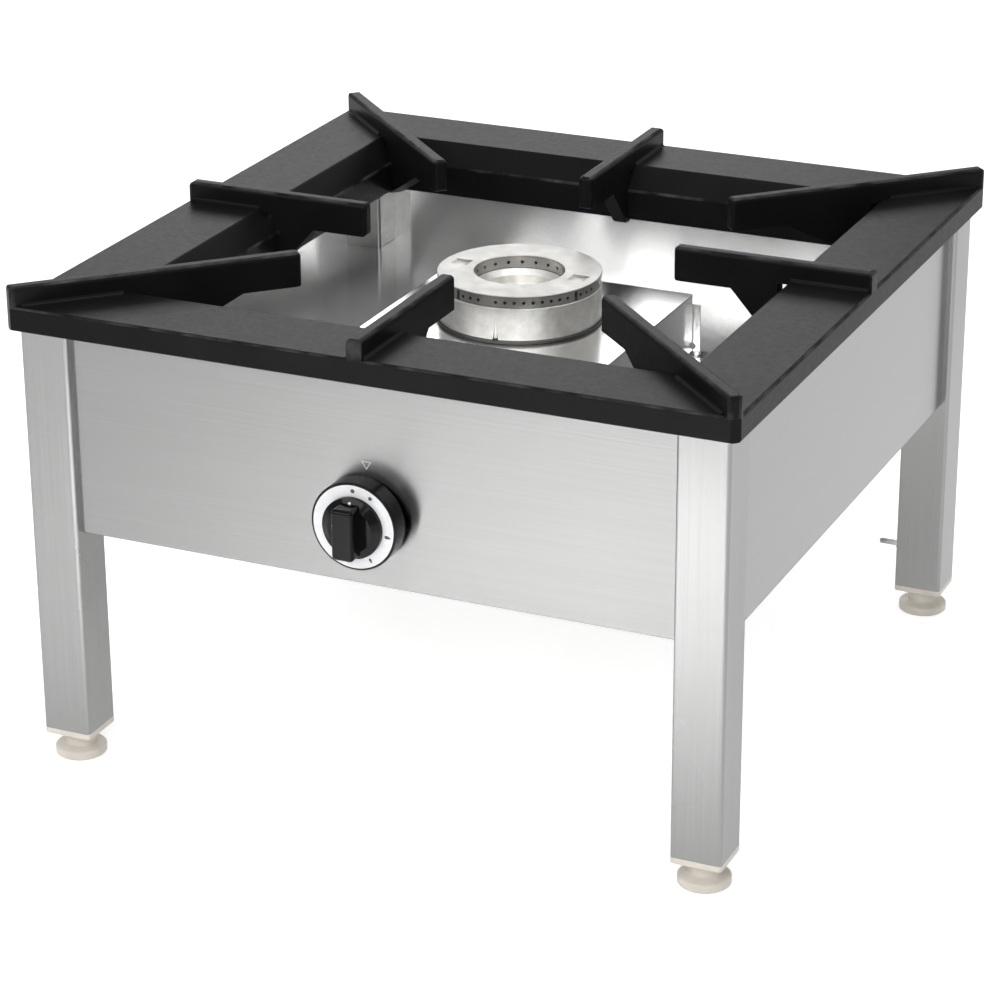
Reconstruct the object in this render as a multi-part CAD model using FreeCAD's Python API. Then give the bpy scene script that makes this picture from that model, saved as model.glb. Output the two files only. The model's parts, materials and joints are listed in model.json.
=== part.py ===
import FreeCAD, Part
import math
import os

# Stock pot range: a low square stand with one gas burner and a cast pan support.
# All sizes are in millimetres. +X is the right side, -Y the front, +Z up, and the
# origin lies on the floor under the middle of the pan support.

# ---- pan support (one casting) ----
GRATE_HALF = 290.0        # half the side of the square
TOP_Z = 390.0             # rib tops above the floor
RIB_RISE = 15.0           # ribs above the flat band
BAND_WIDTH = 64.0         # flat band, from the outer edge inwards
SKIRT_HEIGHT = 19.0       # outer skirt, below the band's top
SLOPE_RUN = 16.0          # sloped inner edge, in plan
SLOPE_DROP = 18.0         # sloped inner edge, in height
LIP_DEPTH = 43.0          # inner lip's lower edge, below the band's top
CAST_WALL = 6.0           # wall of the casting
RIB_WIDTH = 12.0
RIB_TIP_HEIGHT = 27.0     # height of a rib's free end
RIB_LEVEL_RUN = 47.0      # level stretch of a rib's underside
MID_RIB_TIP = 131.0       # free end of a mid rib, from the centre line
DIAGONAL_RIB_TIP = 127.0  # free end of a diagonal rib, in X and in Y
RIB_EDGE_ROUND = 3.5
CORNER_FLAT = 8.0         # width of the flat across each outer corner
BAND_EDGE_ROUND = 2.5
THIN_EDGE_ROUND = 1.5     # lower edges of skirt and lip, and the foot of the slope
RIB_ROOT_ROUND = 3.0      # concave round between a rib and the band
RIB_FOOT_DROP = 2.5       # a rib's foot, below the lip's lower edge
RIB_FOOT_LEAD = 2.0       # and inwards of the lip
RIB_FOOT_INSET = 0.5      # and inwards of the lip's outer face

# ---- legs, inserts and feet ----
LEG_SIDE = 40.0
LEG_WALL = 1.5
LEG_CORNER_ROUND = 3.0
LEG_OUTER_FACE = 282.0    # outer faces of the legs, from the centre
LEG_BOTTOM_Z = 25.5
INSERT_FLANGE = 4.5
INSERT_PLUG_HEIGHT = 18.0
INSERT_PLUG_GAP = 0.1     # between plug and tube, on each side
INSERT_WALL = 2.5
INSERT_BOSS_R = 8.0
STUD_R = 4.0
STUD_CLEARANCE = 0.06
STUD_BOTTOM_Z = 4.0
STUD_LENGTH = 52.0
STUD_CHAMFER = 1.0
PAD_R = 20.0
PAD_RIM_HEIGHT = 7.0
PAD_HUB_R = 12.0
PAD_EDGE = 1.0
PAD_SHOULDER = 2.0        # slope from the rim up to the hub
PAD_HUB_GAP = 1.0         # between the hub and the insert, screwed fully in

# ---- sheet-metal body ----
SHEET = 1.5
PANEL_FACE = 275.5        # outer faces of the panels, from the centre
PANEL_BOTTOM_Z = 195.0
PANEL_TOP_GAP = 1.0       # between the panels and the pan support
PANEL_FLANGE = 14.0
PANEL_FOLD_ROUND = 1.2
DECK_TOP_Z = 264.0
DECK_NOTCH = 241.5        # corner notches of the deck begin here
DECK_FLANGE = 12.5
DECK_HOLE_R = 24.0

# ---- burner box ----
BOX_HALF = 106.0
BOX_TOP_Z = 313.0
BOX_SHEET = 1.2
BOX_HOLE_R = 30.0
BOX_TAB_DEPTH = 14.0
BOX_TAB_WIDTH = 20.0
BOX_RELIEF_R = 3.0        # relief hole at the foot of each corner seam
BOX_RELIEF_RISE = 5.0
BOX_CORNER_ROUND = 3.0
BOX_WING_WIDTH = 6.5      # edges of the rear wall, which stand out at the sides
BOX_WING_TOP_DROP = 9.0   # and end below the top

# ---- pan-head screws ----
SCREW_R = 1.6
SCREW_HEAD_R = 4.0
SCREW_HEAD_TOP_R = 2.6
SCREW_HEAD_EDGE = 1.4
SCREW_HEAD_HEIGHT = 2.6
SCREW_SLOT_WIDTH = 1.0
SCREW_SLOT_DEPTH = 0.8
BOX_SCREW_LENGTH = 9.0
BURNER_SCREW_LENGTH = 5.0

# ---- burner ----
BURNER_WALL_TOP_Z = 342.0
BURNER_R = 64.5
BURNER_WALL = 4.5
BURNER_TOP_CHAMFER = 0.6
BURNER_FLOOR = 5.0
BURNER_FOOT_R = 66.0
BURNER_FOOT_HEIGHT = 3.4
BURNER_FOOT_EDGE = 0.6
CREASE_DEG = -83.0        # upright crease in the wall, seen from above
CREASE_Z = (316.0, 329.0)
CREASE_R = (2.6, 0.3)
CREASE_OUT = 1.1          # centre of the crease's lower end, outside the wall
BOWL_FLOOR = 3.5
BOWL_FLOOR_R = 31.0
BOWL_SIDE_R = 31.5        # top of the bowl's steep side
BOWL_SIDE_Z = 337.0
BOWL_RIM_Z = 341.4        # a little below the cap
BOWL_WALL = 2.5
BOSS_R = 8.0
BOSS_HEIGHT = 5.0         # above the bowl's floor
BOSS_EDGE = 1.0
NECK_R = 17.0
NECK_BORE_R = 13.0
NECK_BOTTOM_Z = 262.0
BOWL_POST_R = 3.0
BOWL_POST_HEIGHT = 9.5
BOWL_POST_RADIUS = 24.0
CAP_R = 65.0
CAP_TOP_Z = 352.0
CAP_PLATE = 3.5
CAP_EDGE = 0.5
CAP_PLATE_LIP_Z = 350.6   # underside of the plate's thin outer lip
CAP_BAND_R = 64.2         # ported band
CAP_GROOVE_R = 62.0       # thin groove between the band and the body
CAP_GROOVE_HEIGHT = 0.6
CAP_HOLE_R = 35.5
CAP_INNER_WALL = 3.0
CAP_SPIGOT_R = 59.7
CAP_SPIGOT_WALL = 2.7
CAP_SPIGOT_DEPTH = 3.5
PORT_R = 1.3
PORT_Z = 346.5
PORT_STEP_DEG = 6.5
QUADRANT_START_DEG = -23.4   # cross-lighting slot of the first quadrant
LONG_GROUP_FIRST = 1.15      # first port of the long group, in port steps from the slot
LONG_GROUP_COUNT = 9
SHORT_GROUP_FIRST = 11.15    # first port of the short group, after the blank land
SHORT_GROUP_COUNT = 3
SLOT_WIDTH = 3.0
SLOT_HEIGHT = 8.0
INNER_PORT_COUNT = 20
INNER_PORT_START_DEG = 2.3
CAP_SCOOP_PLACE = 50.0    # shallow scoops in the top plate, at both sides
CAP_SCOOP_R = 20.0
CAP_SCOOP_WIDTH = 13.0
CAP_SCOOP_DEPTH = 1.5
BURNER_SCREW_RADIUS = 45.0
BURNER_SCREW_ANGLES = (40.0, 140.0)

# ---- mixing tube, injector ----
SOCKET_R = 20.0
SOCKET_TOP_Z = 272.0
SOCKET_BOTTOM_Z = 260.0
THROAT_R = 15.0
THROAT_BORE_R = 11.5
THROAT_Z = (241.0, 252.0)
AIR_CHAMBER_TOP_Z = 233.0
AIR_CHAMBER_R = 19.0
AIR_CHAMBER_BORE_R = 16.0
AIR_CHAMBER_BOTTOM_Z = 212.0
AIR_WINDOW_WIDTH = 14.0
AIR_WINDOW_Z = (215.0, 228.0)
SHUTTER_CLEARANCE = 0.06
SHUTTER_R = 20.6
SHUTTER_Z = (213.0, 231.0)
SHUTTER_LUG_R = 3.5
SHUTTER_LUG_REACH = 3.0
SHUTTER_LUG_DROP = 4.0    # screw axis below the sleeve's top
SHUTTER_SCREW_GAP = 0.3   # between the screw's tip and the air chamber
SHUTTER_SCREW_HEAD = (3.0, 2.2)
HOLDER_Z = 204.5          # axis of the injector holder's inlet
HOLDER_STEM_R = 8.0
HOLDER_ARM_R = 7.0
HOLDER_ARM_END_Y = -28.0
HOLDER_PLATE_Z = 208.0
HOLDER_BORE_R = 3.0
INJECTOR_SEAT_Z = 218.0
INJECTOR_STEP = 6.0       # length of thread, hexagon and nozzle alike
INJECTOR_HEX_R = 5.5
INJECTOR_NOZZLE_R = (4.2, 2.2)
INJECTOR_JET_R = 0.9

# ---- gas tap and knob ----
KNOB_Z = 249.0            # knob axis above the floor, on the panel's centre line
KNOB_R = 34.0
KNOB_BACK_Y = -280.5
KNOB_FACE_Y = -296.5
KNOB_WALL = 3.0
KNOB_EDGE_ROUND = 1.5
KNOB_BOSS_R = 7.0
DIAL_INNER_R = 23.5
DIAL_OUTER_R = 32.2
DIAL_THICKNESS = 1.0
GRIP_WIDTH = 17.0
GRIP_LENGTH = 39.5
GRIP_HEIGHT = 20.0
GRIP_ROUND = 3.0
HUB_RISE = 6.9            # flat front of the hub, ahead of the dial
HUB_STEP = 3.5            # the hub's upright side, below its cone
HUB_FLAT_R = 17.5
SPINDLE_R = 4.0
SPINDLE_FLAT = 2.8        # flat of the spindle, from its axis
SPINDLE_CLEARANCE = 0.06
SPINDLE_FRONT_Y = -292.0
SPINDLE_BACK_Y = -252.0
SPINDLE_TRAVEL_ROOM = 6.0
KNOB_TRAVEL = 4.0         # how far the knob is pushed in to light the burner
COLLAR_R = 5.8
COLLAR_Y = (-273.0, -272.0)
TAP_R = 12.0
TAP_FLANGE_Y = (-271.0, -267.0)
TAP_FLANGE_HALF = (26.0, 9.0)
TAP_NECK_R = 8.5
TAP_NECK_FRONT_Y = -277.0
TAP_NECK_BORE_R = 7.0
CONE_Y = (-262.0, -242.0)
CONE_R = (8.0, 7.0)
TAP_BLOCK_Y = (-240.0, -222.0)
TAP_BLOCK_HALF_X = 18.0
TAP_INLET_Y = -252.0
TAP_INLET_R = 8.0
TAP_INLET_END_X = -30.0
TAP_OUTLET_R = 6.5
TAP_OUTLET_END_Y = -210.0
PILOT_OUTLET_X = -12.0
PILOT_OUTLET_R = 4.0
MAGNET_R = 7.0
MAGNET_END_X = 42.0
MAGNET_Y = -231.0
TAP_BORE_R = 3.5
TAP_SCREW_X = 20.0
TAP_SCREW_R = 2.0
TAP_SCREW_HEAD = (3.6, 2.2)
TAP_SCREW_TAIL = 3.0      # thread behind the tap's flange
CONE_PORT_R = 1.5
BRACKET_HALF = (31.0, 12.0)
BRACKET_THICKNESS = 3.0
SPRING_R = 5.2
SPRING_WIRE_R = 0.45
SPRING_TURNS = 4
SPRING_END_GAP = 0.1

# ---- gas lines ----
INLET_X = -150.0
INLET_Z = 226.0
INLET_END_Y = 316.5       # as far behind as the grip stands in front
INLET_THREAD_R = 10.48
INLET_THREAD_LENGTH = 22.0
INLET_HEX_R = 15.6
INLET_HEX_LENGTH = 10.0
INLET_SHANK_R = 11.0
INLET_INNER_Y = 262.0
INLET_BORE_R = 6.0
LOCKNUT_R = 17.0
LOCKNUT_HEIGHT = 6.0
INLET_PIPE_R = 6.0
FEED_PIPE_R = 5.0
PIPE_WALL = 1.0
PIPE_BEND_R = 24.0
NUT_LENGTH = 12.0

# ---- pilot and thermocouple ----
PILOT_XY = (-43.0, 80.0)
THERMO_XY = (-29.0, 80.0)
PILOT_R = 4.0
PILOT_BOTTOM_Z = 300.0
PILOT_TOP_Z = 339.0
THERMO_R = 3.2
THERMO_TIP_R = 2.0
THERMO_TOP_Z = 336.0
PILOT_SHELF_Z = 326.0
PILOT_SHELF = 1.5
PILOT_TUBE_R = 2.0
LEAD_R = 1.5
LINE_Z = 238.0            # height of the small lines under the deck
SMALL_BEND_R = 9.0

# ---- bonding stud ----
BOND_Z = 56.0
BOND_R = 2.5
BOND_END_X = 222.0
BOND_WASHER_R = 5.0
BOND_WASHER = 1.0
BOND_HEAD = 3.5
BOND_NUT_R = 4.6
BOND_NUT_LENGTH = 4.0

# ---- worked out from the above ----
BAND_Z = TOP_Z - RIB_RISE
BAND_UNDER_Z = BAND_Z - CAST_WALL
BAND_INNER = GRATE_HALF - BAND_WIDTH
LIP_INNER = BAND_INNER - SLOPE_RUN
LIP_OUTER = LIP_INNER + CAST_WALL
SLOPE_Z = BAND_Z - SLOPE_DROP
LIP_Z = BAND_Z - LIP_DEPTH
LEG_CENTRE = LEG_OUTER_FACE - LEG_SIDE / 2
LEG_INNER_FACE = LEG_OUTER_FACE - LEG_SIDE
PANEL_TOP_Z = BAND_UNDER_Z - PANEL_TOP_GAP
PANEL_INNER = PANEL_FACE - SHEET
INSERT_BOTTOM_Z = LEG_BOTTOM_Z - INSERT_FLANGE
REACH = 400.0             # longer than any cut needs to be

V = FreeCAD.Vector
ORIGIN = V(0, 0, 0)
X_AXIS = V(1, 0, 0)
Y_AXIS = V(0, 1, 0)
Z_AXIS = V(0, 0, 1)

SIDES = {"front": 0, "right": 90, "rear": 180, "left": 270}
CORNERS = {
    "front_left": (-1, -1),
    "front_right": (1, -1),
    "rear_right": (1, 1),
    "rear_left": (-1, 1),
}


# ---- helpers ----
def box(x, y, z):
    """A box between three pairs of limits."""
    return Part.makeBox(x[1] - x[0], y[1] - y[0], z[1] - z[0], V(x[0], y[0], z[0]))


def rod(radius, start, end):
    """A round bar from one point to another."""
    start = V(*start)
    run = V(*end) - start
    return Part.makeCylinder(radius, run.Length, start, run)


def cone(radius_start, radius_end, start, end):
    """A tapered round bar from one point to another."""
    start = V(*start)
    run = V(*end) - start
    return Part.makeCone(radius_start, radius_end, run.Length, start, run)


def hexagon(radius, start, end):
    """A hexagonal bar; the radius reaches its corners."""
    start = V(*start)
    run = V(*end) - start
    turn = FreeCAD.Rotation(Z_AXIS, run)
    corners = []
    for i in range(7):
        angle = math.radians(60 * i)
        corner = V(radius * math.cos(angle), radius * math.sin(angle), 0)
        corners.append(start + turn.multVec(corner))
    return Part.Face(Part.makePolygon(corners)).extrude(run)


def turned(profile, axis=Z_AXIS, centre=ORIGIN):
    """A turned part: (radius, place along the axis) points, revolved once."""
    radial = Y_AXIS if axis == X_AXIS else X_AXIS
    points = [centre + radial * r + axis * a for r, a in profile]
    points.append(points[0])
    return Part.Face(Part.makePolygon(points)).revolve(centre, axis, 360)


def about_z(shape, degrees):
    """A copy of a shape, turned about the vertical axis through the origin."""
    copy = shape.copy()
    copy.rotate(ORIGIN, Z_AXIS, degrees)
    return copy


def moved(shape, x, y, z):
    """A copy of a shape at another place."""
    copy = shape.copy()
    copy.translate(V(x, y, z))
    return copy


def fused(shapes):
    """Several solids joined into one."""
    return shapes[0].fuse(shapes[1:]).removeSplitter()


def rounded(shape, radius, keep):
    """A shape with the edges chosen by keep() rounded."""
    return shape.makeFillet(radius, [edge for edge in shape.Edges if keep(edge)])


def is_upright(edge):
    """True for a straight edge along Z."""
    first, last = edge.Vertexes[0].Point, edge.Vertexes[-1].Point
    return abs(first.x - last.x) < 0.01 and abs(first.y - last.y) < 0.01


def on_height(z):
    """A test for edges that lie at one height."""
    return lambda edge: all(abs(vertex.Z - z) < 0.01 for vertex in edge.Vertexes)


def on_depth(y):
    """A test for edges that lie at one depth."""
    return lambda edge: all(abs(vertex.Y - y) < 0.01 for vertex in edge.Vertexes)


def bent_path(points, radius):
    """A wire of straight runs joined by tangent arcs."""
    corners = [V(*point) for point in points]
    edges = []
    here = corners[0]
    for before, corner, after in zip(corners, corners[1:], corners[2:]):
        back = (before - corner).normalize()
        ahead = (after - corner).normalize()
        half = back.getAngle(ahead) / 2
        reach = radius / math.tan(half)
        middle = (back + ahead).normalize()
        centre = corner + middle * (radius / math.sin(half))
        start = corner + back * reach
        end = corner + ahead * reach
        edges.append(Part.LineSegment(here, start).toShape())
        edges.append(Part.Arc(start, centre - middle * radius, end).toShape())
        here = end
    edges.append(Part.LineSegment(here, corners[-1]).toShape())
    return Part.Wire(edges)


def swept(points, bend_radius, radius):
    """A round bar along a bent path."""
    path = bent_path(points, bend_radius)
    start = V(*points[0])
    ring = Part.makeCircle(radius, start, V(*points[1]) - start)
    return path.makePipeShell([Part.Wire(ring)], True, False)


def pipe(points, bend_radius, radius):
    """A pipe along a bent path, open at both ends."""
    return swept(points, bend_radius, radius).cut(swept(points, bend_radius, radius - PIPE_WALL))


# ---- pan support ----
def square_frustum(half_low, z_low, half_high, z_high):
    """A square block whose side changes with height."""
    rings = []
    for half, z in ((half_low, z_low), (half_high, z_high)):
        corners = [V(-half, -half, z), V(half, -half, z), V(half, half, z), V(-half, half, z)]
        rings.append(Part.makePolygon(corners + corners[:1]))
    return Part.makeLoft(rings, True, True)


def square_block(half, z_low, z_high):
    """A square block centred on the origin."""
    return box((-half, half), (-half, half), (z_low, z_high))


def grate_rib(tip, root, lip):
    """A rib along -Y: level underside, then a slope down to a foot at the lip."""
    tip_z = TOP_Z - RIB_TIP_HEIGHT
    foot_z = LIP_Z - RIB_FOOT_DROP
    foot_end = lip + CAST_WALL - RIB_FOOT_INSET
    embed_z = BAND_Z - CAST_WALL / 2
    corners = [
        V(0, -lip + RIB_FOOT_LEAD, foot_z),
        V(0, -foot_end, foot_z),
        V(0, -foot_end, embed_z),
        V(0, -root, embed_z),
        V(0, -root, TOP_Z),
        V(0, -tip, TOP_Z),
        V(0, -tip, tip_z),
        V(0, -tip - RIB_LEVEL_RUN, tip_z),
    ]
    outline = Part.makePolygon(corners + corners[:1])
    rib = Part.Face(outline).extrude(X_AXIS * RIB_WIDTH)
    rib = moved(rib, -RIB_WIDTH / 2, 0, 0)

    def top_or_tip(edge):
        on_top = all(abs(vertex.Z - TOP_Z) < 0.01 for vertex in edge.Vertexes)
        on_tip = all(abs(vertex.Y + tip) < 0.01 for vertex in edge.Vertexes)
        return on_top or on_tip

    return rounded(rib, RIB_EDGE_ROUND, top_or_tip)


def rib_root_round(start, end, side):
    """The concave round along one side of a rib, on the band."""
    edge_x = side * RIB_WIDTH / 2
    far_x = edge_x + side * RIB_ROOT_ROUND
    top_z = BAND_Z + RIB_ROOT_ROUND
    sag = RIB_ROOT_ROUND * (1 - math.sqrt(0.5))
    low = BAND_Z - 1
    inner_x = edge_x - side
    corners = [V(far_x, -start, BAND_Z), V(far_x, -start, low), V(inner_x, -start, low),
               V(inner_x, -start, top_z), V(edge_x, -start, top_z)]
    edges = [Part.LineSegment(a, b).toShape() for a, b in zip(corners, corners[1:])]
    middle = V(edge_x + side * sag, -start, BAND_Z + sag)
    edges.append(Part.Arc(corners[-1], middle, corners[0]).toShape())
    return Part.Face(Part.Wire(edges)).extrude(V(0, start - end, 0))


def grate():
    """The pan support: hollow square frame, inner lip and eight ribs."""
    frame = fused([
        square_block(GRATE_HALF, BAND_Z - SKIRT_HEIGHT, BAND_Z),
        square_block(LIP_OUTER, LIP_Z, BAND_Z - CAST_WALL / 2),
    ])
    slope_drop_rate = SLOPE_RUN / SLOPE_DROP
    opening = fused([
        square_frustum(LIP_INNER, SLOPE_Z, BAND_INNER + slope_drop_rate, BAND_Z + 1),
        square_block(LIP_INNER, LIP_Z - 1, SLOPE_Z),
    ])
    wall_top = BAND_INNER + CAST_WALL / 2 - slope_drop_rate * CAST_WALL
    underside = square_block(GRATE_HALF - CAST_WALL, BAND_Z - SKIRT_HEIGHT - 1, BAND_UNDER_Z)
    inner_wall = fused([
        square_block(LIP_OUTER, LIP_Z - 1, SLOPE_Z + 1),
        square_frustum(LIP_OUTER, SLOPE_Z, wall_top + 2 * slope_drop_rate, BAND_UNDER_Z + 1),
    ])
    frame = frame.cut(underside.cut(inner_wall)).cut(opening)
    frame = rounded(frame, BAND_EDGE_ROUND, on_height(BAND_Z))
    frame = rounded(frame, THIN_EDGE_ROUND, on_height(BAND_Z - SKIRT_HEIGHT))
    frame = rounded(frame, THIN_EDGE_ROUND, on_height(LIP_Z))

    def slope_foot(edge):
        inner = edge.BoundBox.XLength + edge.BoundBox.YLength < 2 * LIP_INNER + 1
        return inner and on_height(SLOPE_Z)(edge)

    frame = rounded(frame, THIN_EDGE_ROUND, slope_foot)

    diagonal = math.sqrt(2)
    corner = GRATE_HALF * diagonal
    facet = corner - CORNER_FLAT / 2
    mid_rib = grate_rib(MID_RIB_TIP, GRATE_HALF, LIP_INNER)
    corner_rib = grate_rib(DIAGONAL_RIB_TIP * diagonal, facet, LIP_INNER * diagonal)
    corner_rib = about_z(corner_rib, 45).common(square_block(GRATE_HALF, 0, REACH))
    mid_end = GRATE_HALF - BAND_EDGE_ROUND
    corner_end = corner - RIB_WIDTH / 2 - RIB_ROOT_ROUND - BAND_EDGE_ROUND * diagonal
    solids = [frame]
    for quarter in range(4):
        solids.append(about_z(mid_rib, 90 * quarter))
        solids.append(about_z(corner_rib, 90 * quarter))
        for side in (-1, 1):
            root_round = rib_root_round(BAND_INNER, mid_end, side)
            solids.append(about_z(root_round, 90 * quarter))
            root_round = rib_root_round(BAND_INNER * diagonal, corner_end, side)
            solids.append(about_z(root_round, 90 * quarter + 45))
    casting = fused(solids)
    for quarter in range(4):
        tip = box((-REACH / 4, REACH / 4), (-facet - REACH, -facet), (0, REACH))
        casting = casting.cut(about_z(tip, 90 * quarter + 45))
    return casting


# ---- legs and feet ----
def square_bar(half, z, corner_round):
    """A square bar on the vertical axis, with rounded corners."""
    return rounded(box((-half, half), (-half, half), z), corner_round, is_upright)


def leg_tube():
    """A square tube, centred on the vertical axis."""
    outer = square_bar(LEG_SIDE / 2, (LEG_BOTTOM_Z, BAND_UNDER_Z), LEG_CORNER_ROUND)
    inner_half = LEG_SIDE / 2 - LEG_WALL
    inner = square_bar(inner_half, (0, REACH), LEG_CORNER_ROUND - LEG_WALL)
    return outer.cut(inner)


def leg_insert():
    """A square plug with a ribbed socket for the foot stud."""
    flange = square_bar(LEG_SIDE / 2, (INSERT_BOTTOM_Z, LEG_BOTTOM_Z), LEG_CORNER_ROUND)
    plug_half = LEG_SIDE / 2 - LEG_WALL - INSERT_PLUG_GAP
    plug_top = LEG_BOTTOM_Z + INSERT_PLUG_HEIGHT
    plug_z = (LEG_BOTTOM_Z, plug_top)
    plug = square_bar(plug_half, plug_z, LEG_CORNER_ROUND - LEG_WALL)
    hollow_half = plug_half - INSERT_WALL
    plug = plug.cut(box((-hollow_half, hollow_half), (-hollow_half, hollow_half), plug_z))
    boss = rod(INSERT_BOSS_R, (0, 0, LEG_BOTTOM_Z), (0, 0, plug_top))
    half_rib = INSERT_WALL / 2
    rib_x = box((-plug_half + 1, plug_half - 1), (-half_rib, half_rib), plug_z)
    rib_y = box((-half_rib, half_rib), (-plug_half + 1, plug_half - 1), plug_z)
    solid = fused([flange, plug, boss, rib_x, rib_y])
    return solid.cut(rod(STUD_R + STUD_CLEARANCE, (0, 0, 0), (0, 0, REACH)))


def foot_pad():
    """A round pad with a hub around the stud."""
    hub_top = INSERT_BOTTOM_Z - PAD_HUB_GAP
    edge = PAD_EDGE
    shoulder_z = PAD_RIM_HEIGHT + PAD_SHOULDER
    return turned([
        (0, 0), (PAD_R - edge, 0), (PAD_R, edge), (PAD_R, PAD_RIM_HEIGHT - edge),
        (PAD_R - edge, PAD_RIM_HEIGHT), (PAD_HUB_R + edge, shoulder_z),
        (PAD_HUB_R, shoulder_z + edge), (PAD_HUB_R, hub_top - edge),
        (PAD_HUB_R - edge, hub_top), (STUD_R, hub_top), (STUD_R, STUD_BOTTOM_Z),
        (0, STUD_BOTTOM_Z),
    ])


def foot_stud():
    """The threaded rod of a foot."""
    top = STUD_BOTTOM_Z + STUD_LENGTH
    return turned([(0, STUD_BOTTOM_Z), (STUD_R, STUD_BOTTOM_Z), (STUD_R, top - STUD_CHAMFER),
                   (STUD_R - STUD_CHAMFER, top), (0, top)])


# ---- sheet-metal body ----
def panel():
    """The front panel's blank: folded at top and bottom, welded between two legs."""
    x = (-LEG_INNER_FACE, LEG_INNER_FACE)
    channel = box(x, (-PANEL_FACE, -PANEL_FACE + PANEL_FLANGE), (PANEL_BOTTOM_Z, PANEL_TOP_Z))

    def fold(edge):
        return on_depth(-PANEL_FACE)(edge) and not is_upright(edge)

    channel = rounded(channel, PANEL_FOLD_ROUND, fold)
    inside_z = (PANEL_BOTTOM_Z + SHEET, PANEL_TOP_Z - SHEET)
    return channel.cut(box((-REACH, REACH), (-PANEL_INNER, 0), inside_z))


def deck_plate():
    """The deck: a notched plate with three downturned flanges."""
    z = (DECK_TOP_Z - SHEET, DECK_TOP_Z)
    solids = [
        box((-PANEL_INNER, PANEL_INNER), (-DECK_NOTCH, DECK_NOTCH), z),
        box((-DECK_NOTCH, DECK_NOTCH), (-PANEL_INNER, PANEL_INNER), z),
    ]
    end = DECK_NOTCH - 2
    flange = box((-end, end), (-PANEL_INNER, -PANEL_INNER + SHEET), (z[0] - DECK_FLANGE, z[0]))
    for side in ("right", "rear", "left"):
        solids.append(about_z(flange, SIDES[side]))
    plate = fused(solids)
    plate = plate.cut(rod(DECK_HOLE_R, (0, 0, 0), (0, 0, REACH)))
    for x, y in (PILOT_XY, THERMO_XY):
        plate = plate.cut(rod(PILOT_R, (x, y, 0), (x, y, REACH)))
    for x, y in box_screw_places():
        plate = plate.cut(rod(SCREW_R, (x, y, 0), (x, y, REACH)))
    return plate


# ---- burner box ----
def box_screw_places():
    """Places of the four screws that hold the burner box down."""
    x = BOX_HALF + BOX_TAB_DEPTH / 2
    y = BOX_HALF - BOX_TAB_WIDTH / 2
    return [(x, y), (x, -y), (-x, y), (-x, -y)]


def burner_box():
    """A raised square box that carries the burner."""
    shell = square_bar(BOX_HALF, (DECK_TOP_Z, BOX_TOP_Z), BOX_CORNER_ROUND)
    shell = rounded(shell, BOX_SHEET, on_height(BOX_TOP_Z))
    inside_z = (DECK_TOP_Z - 1, BOX_TOP_Z - BOX_SHEET)
    shell = shell.cut(square_bar(BOX_HALF - BOX_SHEET, inside_z, BOX_CORNER_ROUND - BOX_SHEET))
    tab_z = (DECK_TOP_Z, DECK_TOP_Z + BOX_SHEET)
    solids = [shell]
    half_width = BOX_TAB_WIDTH / 2
    for x, y in box_screw_places():
        inner = math.copysign(BOX_HALF - BOX_SHEET, x)
        outer = math.copysign(BOX_HALF + BOX_TAB_DEPTH, x)
        tab_x = (min(inner, outer), max(inner, outer))
        solids.append(box(tab_x, (y - half_width, y + half_width), tab_z))
    wing_z = (DECK_TOP_Z, BOX_TOP_Z - BOX_WING_TOP_DROP)
    wing_x = (BOX_HALF - BOX_CORNER_ROUND, BOX_HALF + BOX_WING_WIDTH)
    wing = box(wing_x, (BOX_HALF - BOX_SHEET, BOX_HALF), wing_z)
    solids += [wing, wing.mirror(ORIGIN, X_AXIS)]
    shell = fused(solids)
    for x, y in box_screw_places():
        shell = shell.cut(rod(SCREW_R, (x, y, 0), (x, y, REACH)))
    relief_z = DECK_TOP_Z + BOX_RELIEF_RISE
    relief = rod(BOX_RELIEF_R, (0, -BOX_HALF * 2, relief_z), (0, -BOX_HALF, relief_z))
    for quarter in range(4):
        shell = shell.cut(about_z(relief, 90 * quarter + 45))
    for x, y in (PILOT_XY, THERMO_XY):
        shell = shell.cut(rod(PILOT_R, (x, y, 0), (x, y, REACH)))
    for x, y in burner_screw_places():
        shell = shell.cut(rod(SCREW_R, (x, y, 0), (x, y, REACH)))
    return shell.cut(rod(BOX_HOLE_R, (0, 0, 0), (0, 0, REACH)))


def pan_screw(x, y, z, length):
    """A pan-head screw that stands on the height z and points down."""
    head = turned([
        (0, 0), (SCREW_HEAD_R, 0), (SCREW_HEAD_R, SCREW_HEAD_EDGE),
        (SCREW_HEAD_TOP_R, SCREW_HEAD_HEIGHT), (0, SCREW_HEAD_HEIGHT),
    ])
    half_slot = SCREW_SLOT_WIDTH / 2
    slot = box((-SCREW_HEAD_R, SCREW_HEAD_R), (-half_slot, half_slot),
               (SCREW_HEAD_HEIGHT - SCREW_SLOT_DEPTH, REACH))
    shank = rod(SCREW_R, (0, 0, -length), (0, 0, 0))
    return moved(fused([head.cut(slot), shank]), x, y, z)


def burner_box_screws():
    """The four screws of the burner box."""
    seat = DECK_TOP_Z + BOX_SHEET
    return [pan_screw(x, y, seat, BOX_SCREW_LENGTH) for x, y in box_screw_places()]


# ---- burner ----
def burner_screw_places():
    """Places of the two screws under the burner."""
    places = []
    for degrees in BURNER_SCREW_ANGLES:
        angle = math.radians(degrees)
        places.append((BURNER_SCREW_RADIUS * math.cos(angle), BURNER_SCREW_RADIUS * math.sin(angle)))
    return places


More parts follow.
